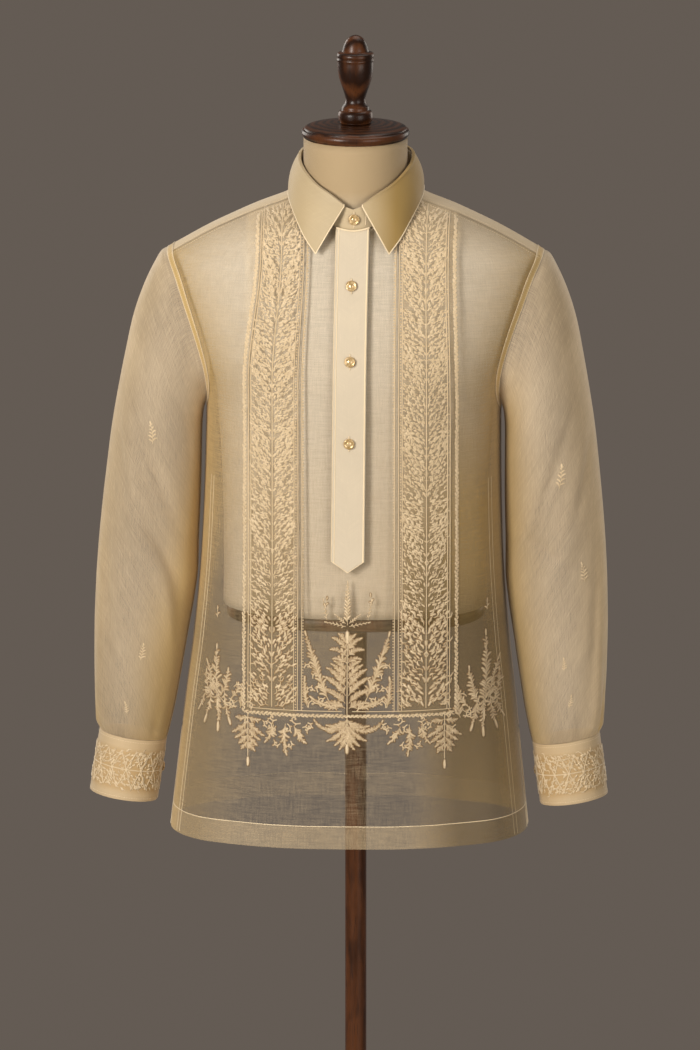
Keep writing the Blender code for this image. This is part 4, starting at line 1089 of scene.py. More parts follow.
# Lobes of the middle spray and of the leaf sprays that hang: x from the stem, z, aim, length, bend
TALL_LOBES = (
    (0.0006, 0.9660, 54, 0.012, -30), (0.0006, 0.9590, 42, 0.019, -45), (0.0006, 0.9520, 24, 0.018, -60),
    (0.0006, 0.9440, 20, 0.014, -60), (0.0010, 0.9345, 42, 0.015, -40), (0.0014, 0.9255, 46, 0.021, -36),
    (0.0016, 0.9160, 45, 0.028, -38), (0.0018, 0.9060, 40, 0.031, -42), (0.0022, 0.8970, 32, 0.029, -42),
    (0.0022, 0.8910, 16, 0.022, -40),
)
HANGING_LOBES = (
    (0.0004, 0.8760, 4, 0.045, 112), (0.0004, 0.8775, -16, 0.024, 60), (0.0004, 0.8730, -42, 0.028, 50),
    (0.0004, 0.8690, -58, 0.024, 44), (0.0004, 0.8620, -68, 0.017, 34),
)
SIDE_LOBES = (
    (0.0004, 0.8755, -8, 0.011, 40), (0.0004, 0.8700, -38, 0.020, 26), (0.0004, 0.8625, -42, 0.016, 26),
    (0.0004, 0.8545, -48, 0.012, 20), (0.0004, 0.8470, -54, 0.009, 12),
)
# Plumes beside the middle spray, between the hanging sprays and in the fans beside the bands:
# x outward and z from the foot, aim, length, spread, pairs, bend and, in the fans, the end leaf
INNER_PLUMES = ((0.021, 0.011, 71, 0.080, 0.0110, 19, 8), (0.046, 0.004, 84, 0.030, 0.0070, 9, 20), (0.010, 0.004, 20,
    0.030, 0.0065, 9, 36))
LOW_PLUMES = ((0.062, -0.012, -124, 0.020, 0.0075, 6, -30), (0.072, -0.010, -92, 0.032, 0.0085, 9, -24),
    (0.086, -0.012, -66, 0.019, 0.0070, 6, 30))
FAN = (
    (0.001, -0.010, 90, 0.080, 0.0088, 18, 5, 1.6), (0.004, -0.006, 76, 0.046, 0.0078, 11, -10, 1.5),
    (0.008, -0.010, 78, 0.036, 0.0078, 8, 30, 1.3), (-0.004, -0.008, 106, 0.043, 0.0086, 10, -22, 1.3),
    (-0.016, -0.010, 118, 0.026, 0.0080, 6, -44, 1.2), (-0.027, -0.020, 96, 0.023, 0.0072, 6, -16, 1.2),
    (0.000, 0.002, -91, 0.034, 0.0078, 7, 8, 2.6), (0.007, 0.002, -80, 0.029, 0.0074, 6, 14, 2.5),
    (-0.008, -0.002, -100, 0.025, 0.0074, 5, -14, 2.2), (0.014, -0.002, -74, 0.018, 0.0070, 4, 20, 1.9),
)
# Tendrils in the same three places: x outward and z from the foot, aim, size
INNER_CURLS = ((0.030, 0.005, 40, 0.015), (0.045, 0.004, 80, 0.014), (0.034, 0.022, 60, 0.013), (0.047, 0.022, 95,
    0.012), (0.040, 0.038, 80, 0.011), (0.050, 0.050, 100, 0.010), (0.020, 0.004, 120, 0.010))
UPPER_CURLS = ((0.054, -0.009, -20, 0.017), (0.070, -0.010, 210, 0.013), (0.082, -0.006, -30, 0.012), (0.092, -0.009,
    200, 0.011), (0.046, -0.008, 190, 0.010))
LOW_CURLS = ((0.060, -0.020, 170, 0.013), (0.082, -0.024, 10, 0.013), (0.066, -0.030, 230, 0.011), (0.078, -0.034, -50,
    0.010), (0.093, -0.016, 20, 0.011), (0.052, -0.014, 150, 0.010))
FAN_CURLS = ((-0.014, -0.010, 200, 0.016), (-0.024, -0.018, -20, 0.015), (-0.034, -0.012, 160, 0.013), (-0.020, 0.004,
    120, 0.013), (-0.032, -0.028, 200, 0.012), (0.008, 0.006, 30, 0.010), (-0.040, -0.004, 90, 0.010))


def lobed(x0, lobes, rng, tip_z, tip, aim):
    """Spray of curved feathery lobes on both sides of an upright stem, with one long leaf at its end."""
    parts = [([(x0, tip_z, aim, tip, tip * 0.36, 0.0, 1.0)], [(straight(x0, BORDER_LOW, x0, tip_z), 0.0016, 0.0010)])]
    for hand in (1, -1):
        for x, z, way, length, bend in lobes:
            parts.append(frond(x0 + hand * x, z, mirrored(way, hand), length * rng.uniform(0.94, 1.04), 0.0064,
                max(4, int(length / 0.0023)), 0.0052, rng, bend=hand * bend, width=0.42, flare=42, tip=0.9,
                plump=0.0032 if abs(bend) < 60 else 0.0, wild=0.10, dim=0.55))
    return parts


def border_sprays(work, place, rng):
    """Sprays and scrolls that stand inside, hang below and rise beside the joined bands."""
    parts = lobed(MIDDLE_X, TALL_LOBES, rng, 0.9650, 0.0175, 90)
    parts += lobed(MIDDLE_X, HANGING_LOBES, rng, 0.8505, 0.0140, -90)
    parts += lobed(-0.1206, SIDE_LOBES, rng, 0.8300, 0.0130, -90)
    parts += lobed(0.1087, SIDE_LOBES, rng, 0.8290, 0.0130, -90)
    knots = []

    def plumes(x0, z0, hand, rows, leaf, **how):
        for x, z, aim, length, spread, pairs, bend, *tip in rows:
            parts.append(frond(x0 + hand * x, z0 + z, mirrored(aim, hand), length, spread, pairs, leaf, rng, bend=hand
                * bend, tip=tip[0] if tip else 1.25, **how))

    def curls(x0, z0, hand, rows):
        for x, z, aim, size in rows:
            leaves, lines, more = scroll(x0 + hand * x, z0 + z, mirrored(aim, hand), size, hand, rng)
            parts.append((leaves, lines))
            knots.extend(more)

    for hand in (1, -1):
        plumes(MIDDLE_X, BORDER_HIGH, hand, INNER_PLUMES, 0.0064, width=0.34, plump=0.0040, wild=0.15, dim=0.5)
        curls(MIDDLE_X, BORDER_HIGH, hand, INNER_CURLS)
        curls(MIDDLE_X, BORDER_LOW, hand, UPPER_CURLS)
        plumes(MIDDLE_X, BORDER_LOW, hand, LOW_PLUMES, 0.0052, plump=0.0022, wild=0.2, dim=0.4)
        curls(MIDDLE_X, BORDER_LOW, hand, LOW_CURLS)
        # fan of plumes beside the bands, with a leafy foot
        x0, z0, tall, deep = (0.1535, 0.8955, 1.0, 1.0) if hand > 0 else (-0.1570, 0.9050, 0.66, 1.15)
        sizes = [tall if row[2] > 0 else deep for row in FAN]
        fan = [(*row[:3], row[3] * size, row[4], max(4, int(row[5] * 1.25 * size)), *row[6:])
               for row, size in zip(FAN, sizes)]
        plumes(x0, z0, hand, fan, 0.0056, width=0.42, flare=44, wild=0.22, dim=0.35)
        arc = np.radians(np.linspace(20, 130, 12))
        stem = np.stack((x0 - hand * (0.014 - 0.016 * np.cos(arc)), z0 - 0.020 * np.sin(arc) + 0.004), 1)
        parts.append(([(x0, z0 - 0.010, -90, 0.018, 0.0044, 0.0, 0.9)], [(stem, 0.0013, 0.0008)]))
        curls(x0, z0, hand, FAN_CURLS)
    for x, z, aim in ((-0.1574, 0.9860, 90), (0.1560, 0.9960, 90), (MIDDLE_X - 0.0255, 1.008, 82), (MIDDLE_X + 0.0285,
            1.012, 98)):
        parts.append(frond(x, z, aim, 0.010, 0.0045, 2, 0.0032, rng))
    # with dark leaves painted as shadow showing 0.6 mm all round beneath
    work.leaves(place, [leaf for part in parts for leaf in part[0]], 0.0006)
    work.lines(place, [line for part in parts for line in part[1]])
    work.knots(place, knots)


def light_sprays(work, place, rng):
    """Finer, lighter work above the middle spray."""
    parts = [frond(MIDDLE_X, 0.988, 90, 0.048, 0.0075, 11, 0.0034, rng)]
    for hand in (1, -1):
        for x, z, aim, length in ((0.002, 0.9865, 12, 0.022), (0.002, 0.9900, 40, 0.014), (0.024, 0.994, 80, 0.022)):
            parts.append(frond(MIDDLE_X + hand * x, z, mirrored(aim, hand), length, 0.0042, 5, 0.0032, rng))
    work.leaves(place, [leaf for part in parts for leaf in part[0]])
    work.lines(place, [(path, 0.0008, 0.0005) for part in parts for path, _, _ in part[1]])


def sprigs(work, place, places, rng):
    """Scattered sprigs, listed as x, z, aim and length."""
    for x, z, aim, length in places:
        leaves, lines = frond(x, z, aim, length, length * 0.30, 5, length * 0.20, rng, bend=18, width=0.30, flare=56)
        work.leaves(place, leaves)
        work.lines(place, [(path, 0.0007, 0.0004) for path, _, _ in lines])


def cuff_garland(work, band, rng):
    """Leafy branches along both sides of a stem, under a zigzag cord with knots, all round a cuff."""
    around, middle, reach = band.round[-1], band.tall * 0.50, band.tall * 0.30

    def turned(places):
        return band.place(np.asarray(places, float)[:, ::-1])

    leaves, lines, knots = leaf_field(middle - reach, middle + reach, middle, 0.0, around, 0.0050, rng, apart=2.3)
    span = around / GARLAND_TURNS
    for k in range(GARLAND_TURNS):
        for hand in (1, -1):
            up = hand * (1 if k % 2 else -1)
            zigzag = straight(middle - reach * up, k * span, middle + reach * up, (k + 1) * span)
            lines.append((zigzag, 0.0015, 0.0009))
            more = scroll(middle + hand * reach * 0.62, (k + 0.35) * span, 90 + 40 * up, 0.009, up, rng, leaf=0.0036)
            leaves += more[0]
            lines += [(path, 0.0013, 0.0008) for path, _, _ in more[1]]
        knots.append((middle, (k + 0.5) * span, 0.0019, 1.0))
    work.leaves(turned, leaves)
    work.lines(turned, lines)
    work.knots(turned, knots)


# ---- finishes ----

def fill(tree, made, **settings):
    """Sets a node up. A setting that starts with in_ is an input, by name or number, given a value or a link."""
    for key, value in settings.items():
        if not key.startswith("in_"):
            setattr(made, key, value)
            continue
        label = key[3:].replace("_", " ")
        socket = made.inputs[int(label) if label.isdigit() else label]
        if isinstance(value, bpy.types.NodeSocket):
            tree.links.new(value, socket)
        else:
            socket.default_value = value
    return made


def node(tree, kind, **settings):
    return fill(tree, tree.nodes.new("ShaderNode" + kind), **settings)


def maths(tree, operation, a, b=0.0, c=0.0):
    return node(tree, "Math", operation=operation, in_0=a, in_1=b, in_2=c).outputs[0]


def blend(tree, share, a, b):
    return node(tree, "Mix", data_type="RGBA", in_0=share, in_6=a, in_7=b).outputs[2]


def remap(tree, value, low, high, to_low, to_high):
    return node(tree, "MapRange", in_0=value, in_1=low, in_2=high, in_3=to_low, in_4=to_high).outputs[0]


def noise(tree, place, scale, **settings):
    return node(tree, "TexNoise", in_Vector=place, in_Scale=scale, **settings).outputs[0]


def mask(tree, name):
    return node(tree, "Attribute", attribute_name=name).outputs["Fac"]


def bump(tree, strength, distance, height):
    return node(tree, "Bump", in_Strength=strength, in_Distance=distance, in_Height=height).outputs[0]


def group(name, inputs, outputs):
    """New shader node group. An input without a value is a place; the others and the outputs are numbers."""
    made = bpy.data.node_groups.new(name, "ShaderNodeTree")
    for label, value in inputs.items():
        kind = "NodeSocketVector" if value is None else "NodeSocketFloat"
        socket = made.interface.new_socket(label, in_out="INPUT", socket_type=kind)
        if value is not None:
            socket.default_value = value
    for label in outputs:
        made.interface.new_socket(label, in_out="OUTPUT", socket_type="NodeSocketFloat")
    return made, made.nodes.new("NodeGroupInput").outputs, made.nodes.new("NodeGroupOutput")


def weave_group():
    """Plain weave with slubs: single threads, long thick places in both ways, and soft clouds."""
    tree, given, out = group("Slubby weave", {"Place": None, "Pitch": 0.0008, "Slub length": 0.03},
        ("Threads", "Slubs", "Clouds"))
    x, y = node(tree, "SeparateXYZ", in_0=given["Place"]).outputs[:2]
    turn = maths(tree, "DIVIDE", 2 * pi, given["Pitch"])
    warp, weft = (maths(tree, "SINE", maths(tree, "MULTIPLY", way, turn)) for way in (x, y))
    crossing = maths(tree, "MULTIPLY_ADD", maths(tree, "MULTIPLY", warp, weft), 0.5, 0.5)
    streaks = []
    for across, along, seed in ((x, y, 3.1), (y, x, 17.7)):
        wide = maths(tree, "MULTIPLY", given["Pitch"], 1.7)
        place = node(tree, "CombineXYZ", in_0=maths(tree, "DIVIDE", across, wide), in_1=maths(tree, "DIVIDE", along,
            given["Slub length"]), in_2=seed)
        streaks.append(noise(tree, place.outputs[0], 1.0, in_Detail=2.0, in_Roughness=0.6))
    slubs = maths(tree, "MULTIPLY", maths(tree, "ADD", *streaks), 0.5)
    fill(tree, out, in_Threads=crossing, in_Slubs=slubs, in_Clouds=noise(tree, given["Place"], 16.0, in_Detail=3.0))
    return tree


def grain_group():
    """Long wood grain with fine pores, along Z."""
    tree, given, out = group("Wood grain", {"Place": None, "Scale": 22.0}, ("Figure", "Pores"))

    def stretched(share):
        return node(tree, "VectorMath", operation="MULTIPLY", in_0=given["Place"], in_1=(1.0, 1.0, share)).outputs[0]

    place = stretched(0.22)
    bend = noise(tree, place, given["Scale"], in_Detail=3.0)
    rings = node(tree, "TexWave", wave_type="RINGS", rings_direction="Z", in_Vector=place, in_Scale=34.0,
        in_Distortion=3.0, in_Detail=3.0, in_Detail_Scale=2.0)
    figure = maths(tree, "MULTIPLY", maths(tree, "ADD", bend, rings.outputs[1]), 0.5)
    fill(tree, out, in_Figure=figure, in_Pores=noise(tree, stretched(0.05), 900.0, in_Detail=1.0))
    return tree


def strands_group():
    """Fine slanting threads of a satin stitch."""
    tree, given, out = group("Satin strands", {"Place": None, "Pitch": 0.00042}, ("Strands",))
    parts = node(tree, "SeparateXYZ", in_0=given["Place"])
    slant = maths(tree, "MULTIPLY_ADD", maths(tree, "ABSOLUTE", parts.outputs[1]), 0.9, parts.outputs[0])
    turn = maths(tree, "DIVIDE", 2 * pi, given["Pitch"])
    wave = maths(tree, "SINE", maths(tree, "MULTIPLY", slant, turn))
    fill(tree, out, in_Strands=maths(tree, "MULTIPLY_ADD", wave, 0.5, 0.5))
    return tree


def new_look(name, roughness):
    made = bpy.data.materials.new(name)
    made.use_nodes = True
    tree = made.node_tree
    return made, tree, fill(tree, tree.nodes["Principled BSDF"], in_Roughness=roughness)


def placed_group(tree, source, **inputs):
    return node(tree, "Group", node_tree=source, **inputs).outputs


def rgba(colour, factor=1.0):
    return (*(min(1.0, c * factor) for c in colour), 1.0)


def tinted(colour, *factors):
    return [c * k for c, k in zip(colour, factors)]


def cloth_look(name, weave, colour, warm, cover, slub, pitch=0.0006, sheen=0.2, height=0.00012, mottle_and_glint=0.15):
    """Woven cloth. A cover lets light through between the threads, less so at a slant."""
    made, tree, shader = new_look(name, 0.62)
    lay = node(tree, "UVMap", uv_map="lay").outputs[0]
    threads, slubs, clouds = placed_group(tree, weave, in_Place=lay, in_Pitch=pitch, in_Slub_length=0.020)
    shade = maths(tree, "MULTIPLY_ADD", maths(tree, "SUBTRACT", slubs, 0.5), 2.2 * slub, 0.5)
    tint = blend(tree, shade, rgba(colour, 0.80), rgba(colour, 1.10))
    # random warm tone, then lighter patches and slubs: partly the cloth's own uneven tone, partly painted glints
    for source, low, high, most, other in (
            (clouds, 0.35, 0.65, 0.10, rgba(warm)), (clouds, 0.48, 0.70, mottle_and_glint, rgba(colour, 1.30)),
            (slubs, 0.56, 0.72, mottle_and_glint, rgba(colour, 1.40))):
        tint = blend(tree, remap(tree, source, low, high, 0.0, most), tint, other)
    # warmth: a deeper gold, partly the cloth's own where it lies doubled at seams, partly painted shade
    edge = mask(tree, "warmth")
    tint = blend(tree, edge, tint, rgba(warm))
    # pale: painted light, a lighter colour where a highlight or lit ground is painted
    tint = blend(tree, mask(tree, "pale"), tint, rgba(colour, 1.42))
    # shade: painted shade, darkening towards a deep gold
    tint = blend(tree, mask(tree, "shade"), tint, rgba(warm, 0.28))
    rise = maths(tree, "ADD", maths(tree, "MULTIPLY", slubs, 1.4), threads)
    fill(tree, shader, in_Base_Color=tint, in_Normal=bump(tree, 0.5, height, rise), in_Sheen_Weight=sheen,
        in_Sheen_Roughness=0.45, in_Specular_IOR_Level=0.35)
    if cover is not None:
        grip = maths(tree, "MULTIPLY_ADD", maths(tree, "SUBTRACT", slubs, 0.5), 1.5 * slub, cover)
        grip = maths(tree, "MULTIPLY_ADD", maths(tree, "SUBTRACT", threads, 0.5), 0.14, grip)
        grip = maths(tree, "MULTIPLY_ADD", edge, 0.40, grip)
        grip = maths(tree, "ADD", grip, mask(tree, "density"))
        gaps = maths(tree, "MAXIMUM", maths(tree, "SUBTRACT", 1.0, grip), 0.02)
        slant = node(tree, "LayerWeight", in_Blend=0.5).outputs["Facing"]
        power = maths(tree, "DIVIDE", 1.0, maths(tree, "SUBTRACT", 1.0, maths(tree, "MULTIPLY", slant, 0.80)))
        solid = maths(tree, "SUBTRACT", 1.0, maths(tree, "POWER", gaps, power))
        fill(tree, shader, in_Alpha=maths(tree, "MINIMUM", solid, 1.0))
    return made


def thread_look(name, satin, colour, dark, roughness=0.38, edge_shading=0.95):
    """Satin stitches: fine slanting threads, each leaf a little lighter or darker, with painted shade deepening at its
    edges.
    """
    made, tree, shader = new_look(name, roughness)
    lay = node(tree, "UVMap", uv_map="lay").outputs[0]
    strands = placed_group(tree, satin, in_Place=lay)[0]
    tone, rim = mask(tree, "tone"), mask(tree, "rim")
    tint = blend(tree, maths(tree, "MULTIPLY_ADD", tone, 0.35, 0.65), rgba(dark), rgba(colour))
    tint = blend(tree, maths(tree, "MULTIPLY", strands, 0.25), tint, rgba(dark))
    # painted shade at each leaf's edge, towards a deeper dark
    tint = blend(tree, maths(tree, "MULTIPLY", maths(tree, "POWER", rim, 1.4), edge_shading), tint, rgba(dark, 0.45))
    fill(tree, shader, in_Base_Color=tint, in_Normal=bump(tree, 0.5, 0.00012, strands), in_Sheen_Weight=0.25,
        in_Specular_IOR_Level=0.45)
    return made


def wood_look(name, grain, dark, red):
    made, tree, shader = new_look(name, 0.32)
    place = node(tree, "TexCoord").outputs["Object"]
    figure, pores = placed_group(tree, grain, in_Place=place)
    tint = blend(tree, remap(tree, figure, 0.3, 0.7, 0.0, 1.0), rgba(dark), rgba(red))
    tint = blend(tree, remap(tree, pores, 0.58, 0.70, 0.0, 0.55), tint, rgba(dark, 0.45))
    fill(tree, shader, in_Base_Color=tint, in_Roughness=remap(tree, pores, 0.4, 0.7, 0.32, 0.44), in_Normal=bump(tree,
        0.15, 0.0002, pores), in_Specular_IOR_Level=0.20, in_Coat_Weight=0.10, in_Coat_Roughness=0.16)
    return made


def button_look(name, colour, deep):
    """Pearly gold: slow bands of lighter and deeper tone under a gloss."""
    made, tree, shader = new_look(name, 0.22)
    place = node(tree, "TexCoord").outputs["Object"]
    pearl = noise(tree, place, 240.0, in_Detail=2.0, in_Distortion=1.2)
    tint = blend(tree, remap(tree, pearl, 0.35, 0.65, 0.0, 1.0), rgba(deep), rgba(colour))
    fill(tree, shader, in_Base_Color=tint, in_Roughness=remap(tree, pearl, 0.3, 0.7, 0.16, 0.30), in_Metallic=0.35,
        in_Coat_Weight=0.5)
    return made


def floor_look(name, colour):
    made, tree, shader = new_look(name, 0.85)
    place = node(tree, "TexCoord").outputs["Object"]
    clouds = noise(tree, place, 3.0, in_Detail=4.0)
    fill(tree, shader, in_Base_Color=blend(tree, clouds, rgba(colour, 0.95), rgba(colour, 1.03)))
    return made


LOOKS = {}


def look(key):
    """Material by its short name, made the first time it is asked for."""
    if key in LOOKS:
        return LOOKS[key]
    cloth, stand = bpy.context.scene.barong_cloth, bpy.context.scene.barong_stand
    if "weave" not in LOOKS:
        LOOKS["weave"], LOOKS["grain"], LOOKS["satin"] = weave_group(), grain_group(), strands_group()
    weave, grain, satin = LOOKS["weave"], LOOKS["grain"], LOOKS["satin"]
    sheer, firm, warm, thread = cloth.sheer_colour, cloth.firm_colour, cloth.warm_colour, cloth.thread_colour
    makers = {
        "body": lambda: cloth_look("sheer body cloth", weave, sheer, warm, cloth.body_cover, 0.42),
        "back": lambda: cloth_look("sheer back cloth", weave, sheer, warm, cloth.back_cover, 0.42),
        "yoke": lambda: cloth_look("sheer yoke cloth", weave, sheer, warm, cloth.yoke_cover, 0.35),
        "sleeve": lambda: cloth_look("sheer sleeve cloth", weave, tinted(sheer, 0.97, 0.995, 1.10), warm,
                                     cloth.sleeve_cover, 0.36, mottle_and_glint=0.60),
        "fold": lambda: cloth_look("turned edge cloth", weave, sheer, warm, 0.30, 0.30),
        "inner fold": lambda: cloth_look("inner edge cloth", weave, sheer, warm, 0.10, 0.20),
        "felled": lambda: cloth_look("felled seam cloth", weave, firm, warm, 0.62, 0.30),
        "firm": lambda: cloth_look("firm collar cloth", weave, firm, tinted(warm, 0.64, 0.64, 0.64), None, 0.22),
        "cuff": lambda: cloth_look("firm cuff cloth", weave, tinted(firm, 1.03, 1.00, 1.00),
                                   tinted(warm, 0.72, 0.67, 0.75), None, 0.22),
        "placket": lambda: cloth_look("placket cloth", weave, cloth.placket_colour, firm, None, 0.22),
        "linen": lambda: cloth_look("natural linen", weave, stand.linen_colour, stand.linen_warm, None, 0.8,
                                    pitch=0.0011, sheen=0.1, height=0.0003),
        "thread": lambda: thread_look("pale embroidery thread", satin, thread, cloth.thread_dark),
        "seam": lambda: thread_look("sewing thread", satin, tinted(thread, 1.08, 1.08, 1.08), firm, 0.5, edge_shading=0.5),
        "wood": lambda: wood_look("polished dark wood", grain, stand.wood_colour, stand.wood_red),
        "pearl": lambda: button_look("pearly gold button", cloth.button_colour, cloth.button_deep),
    }
    LOOKS[key] = makers[key]()
    return LOOKS[key]


# ---- settings ----

def colour_setting(label, text, value):
    return FloatVectorProperty(name=label, description=text, subtype="COLOR", size=3, min=0.0, max=1.0, default=value)


def size_setting(label, text, value):
    return FloatProperty(name=label, description=text, subtype="DISTANCE", unit="LENGTH", min=0.0, default=value)


def share_setting(label, text, value):
    return FloatProperty(name=label, description=text, subtype="FACTOR", min=0.0, max=1.0, default=value)


class BarongCloth(bpy.types.PropertyGroup):
    sheer_colour: colour_setting("Sheer cloth", "Colour of the single sheer cloth", (0.63, 0.480, 0.290))
    firm_colour: colour_setting("Firm cloth", "Colour of the collar, cuffs and placket", (0.507, 0.396, 0.245))
    placket_colour: colour_setting("Placket", "Colour of the placket", (0.60, 0.500, 0.365))
    # The warm colour is also mixed in, on its own and darkened, as painted shade.
    warm_colour: colour_setting("Warm edges", "Deeper gold towards seams and slants", (0.52, 0.325, 0.090))
    thread_colour: colour_setting("Embroidery", "Lighter colour of the embroidery thread", (0.92, 0.730, 0.470))
    # The embroidery shade also colours the painted shade at leaf edges and the dark leaves painted as shadow.
    thread_dark: colour_setting("Embroidery shade", "Darker colour of the embroidery thread", (0.24, 0.128, 0.034))
    button_colour: colour_setting("Buttons", "Lighter tone of the pearly buttons", (0.70, 0.50, 0.26))
    button_deep: colour_setting("Button shade", "Deeper tone of the pearly buttons", (0.46, 0.29, 0.11))
    body_cover: share_setting("Body cover", "Share of the front that thread fills", 0.10)
    back_cover: share_setting("Back cover", "Share of the back that thread fills", 0.03)
    yoke_cover: share_setting("Yoke cover", "Share of the doubled yoke that thread fills", 0.60)
    sleeve_cover: share_setting("Sleeve cover", "Share of the sleeve cloth that thread fills", 0.44)
    hem_depth: size_setting("Hem depth", "Height of the turned-up hem", 0.023)
    seam_width: size_setting("Armhole seam", "Width of the felled armhole seam", 0.008)


class BarongStitches(bpy.types.PropertyGroup):
    stitch: size_setting("Stitch", "Length of one sewing stitch", 0.0022)
    gap: size_setting("Gap", "Gap between two sewing stitches", 0.0008)
    seed: IntProperty(name="Seed", description="Start of the fixed variation in the embroidery", default=11, min=0)


class BarongStand(bpy.types.PropertyGroup):
    linen_colour: colour_setting("Linen", "Colour of the form's cover", (0.60, 0.533, 0.432))
    # The linen shade is the colour of the painted shade on the form's neck and left side, and of its warmer lower
    # part.
    linen_warm: colour_setting("Linen shade", "Deeper tone of the form's cover", (0.40, 0.285, 0.155))
    wood_colour: colour_setting("Wood", "Darker colour of the turned wood", (0.0165, 0.0050, 0.0015))
    wood_red: colour_setting("Wood figure", "Redder colour of the turned wood", (0.0720, 0.0230, 0.0070))
    turned_sides: IntProperty(name="Turned sides", description="Sides of the turned pieces", default=112, min=24)


class BarongStage(bpy.types.PropertyGroup):
    distance: size_setting("Camera distance", "Distance from the camera to its aim", 20.0)
    lens: FloatProperty(name="Lens", description="Focal length in millimetres", default=586.1, min=10.0)
    elevation: FloatProperty(name="Elevation", description="Height angle of the camera", subtype="ANGLE",
        default=radians(12.0))
    azimuth: FloatProperty(name="Azimuth", description="Turn of the camera to the side", subtype="ANGLE",
        default=radians(2.5))
    backdrop: colour_setting("Backdrop", "Plain colour behind the object", (0.127, 0.105, 0.088))
    floor_colour: colour_setting("Floor", "Colour of the round floor", (0.62, 0.58, 0.53))
    floor_radius: size_setting("Floor radius", "Radius of the round floor", 1.1)
    power: FloatProperty(name="Key light", description="Power of the main soft light in watts", default=193.0, min=0.0)


# ---- making the pieces ----

GRIDS = {}
SIDES = (("front", -1), ("back", 1))
# Rows and columns of each grid
PANEL_COLUMNS, PANEL_ROWS = (26, 38), (95, 50)
YOKE_DIVISIONS = (30, 26, 34)
SLEEVE_SIDES, SLEEVE_ROWS, PLEAT_ROWS = 120, 92, 41
STAND_DIVISIONS, LEAF_DIVISIONS = (10, 60, 96), (181, 22)
PLACKET_ROWS, PLACKET_COLUMNS = 110, 25
CUFF_DIVISIONS = (22, 144)
FORM_DIVISIONS = (180, 34)
# Widths of the vents' turned edges and of the side seams, and how far in their stitches run
EDGES = {"front": dict(vent=0.0132, vent_stitch=0.0130, seam=0.0035, seam_stitch=0.0028), "back": dict(vent=0.0060,
    vent_stitch=0.0058, seam=0.0060, seam_stitch=0.0053)}
EDGE_LIFT = 0.0004
ARMHOLE_EYE = (0.0, 0.0, 1.28)  # the armhole seams face away from here


def piece(name):
    if name not in bpy.data.objects:
        raise RuntimeError(f"make {name} first")
    return bpy.data.objects[name]


def finish_piece(made, look_key, slot, *nodes):
    """Gives a piece its material and the body that carries it, and hides the nodes it replaces. The slot is not used.
    """
    made.data.materials.append(look(look_key))
    if nodes:
        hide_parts(*nodes)
    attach(made, "root")


def side_share(grid):
    """0 at the middle of the shirt and 1 at its side edges."""
    return np.clip(np.abs(grid[..., 0]) / half_width(np.clip(grid[..., 2], HEM_Z, SHOULDER_Z)), 0, 1)


def side_masks(grid):
    """Warmth, density and painted shade towards the sides, with a pale strip kept along the right edge."""
    x, z, share = grid[..., 0], grid[..., 2], side_share(grid)
    right, edge = x < 0, np.abs(x) - half_width(np.clip(z, HEM_Z, SHOULDER_Z))
    low = np.clip((1.10 - z) / 0.14, 0, 1)
    belly = np.interp(z, (0.99, 1.04, 1.16, 1.24), (0.0, 1.0, 1.0, 0.0))
    strip = np.clip((0.0125 + edge) / 0.002, 0, 1) * right
    side = np.where(right, np.clip((share - 0.58) / 0.25, 0, 1), np.clip((share - 0.36) / 0.28, 0, 1))
    # warmer towards both side edges, and higher up on the left side as painted shade
    warmth = np.maximum(0.90 * share ** np.interp(z, (0.74, 0.98, 1.12), (10.0, 8.0, 3.6)), side * np.where(right,
        0.45 * low, np.interp(z, (1.12, 1.30), (0.90, 0.10))))
    density = side * np.where(right, 0.06 * low + 0.38 * belly, np.interp(z, (0.95, 1.02, 1.12, 1.25),
        (0.30, 0.14, 0.10, 0.0)))
    # painted shade: low down on both sides, and reaching higher on the left side, away from the key light
    shade = side * np.where(right, 0.48 * low * (1 - 0.8 * strip), np.interp(z, (0.92, 0.98, 1.05, 1.30),
        (0.95, 0.90, 0.36, 0.12)))
    # painted shadow just above the form's lower end, which is also warmer and closer there, and golden along the left
    # edge, where the painted shade eases
    under = np.exp(-((z - 0.962) / 0.036) ** 2)
    gold = np.clip((0.026 + edge) / 0.008, 0, 1) * (x > 0) * np.clip((1.06 - z) / 0.06, 0, 1)
    return (np.maximum(warmth, 0.35 * under), density + 0.24 * gold + 0.08 * under,
        np.maximum(shade * (1 - 0.12 * gold), (0.30 + 0.25 * (x > 0)) * under))


def band_ground(grid):
    """1 where the bands' close needlework lies on the front, 0 away from it."""
    x, z = grid[..., 0], grid[..., 2]
    inside = 0
    for band in BANDS:
        low_x, high_x = min(band["braid"], band["dots"][-1]), max(band["braid"], band["dots"][0])
        inside += np.clip((x - low_x) / 0.004 + 0.5, 0, 1) * np.clip((high_x - x) / 0.004 + 0.5, 0, 1)
    return inside * np.clip((z - BORDER_LOW) / 0.006 + 0.5, 0, 1)


def panel_columns(inner, outer):
    share = neck_share()
    side = share + (1 - share) * np.sin(pi / 2 * np.arange(1, outer + 1) / outer)
    return np.concatenate((-side[::-1], np.linspace(-share, share, 2 * inner + 1), side))


def edge_strip(grid, hand, width, rows, count=6, off=0.0):
    """Narrow strip of a panel's side edge, of even width, moved out by a small distance."""
    strip, at = [], np.linspace(0, width, count)
    for row, way in zip(grid[rows], normals(grid)[rows]):
        row, way = row[::-hand], way[::-hand]
        length = distances(row)
        strip.append(points_at(at, length, row) + points_at(at, length, way) * off)
    return np.array(strip)


def hem_rows(grid, depth):
    return int(np.sum(grid[:, grid.shape[1] // 2, 2] < HEM_Z + depth))


def closed_up(grid):
    return np.concatenate((grid, grid[:, :1]), 1)


class PiecesOperator(bpy.types.Operator):
    bl_options = {"REGISTER", "UNDO"}


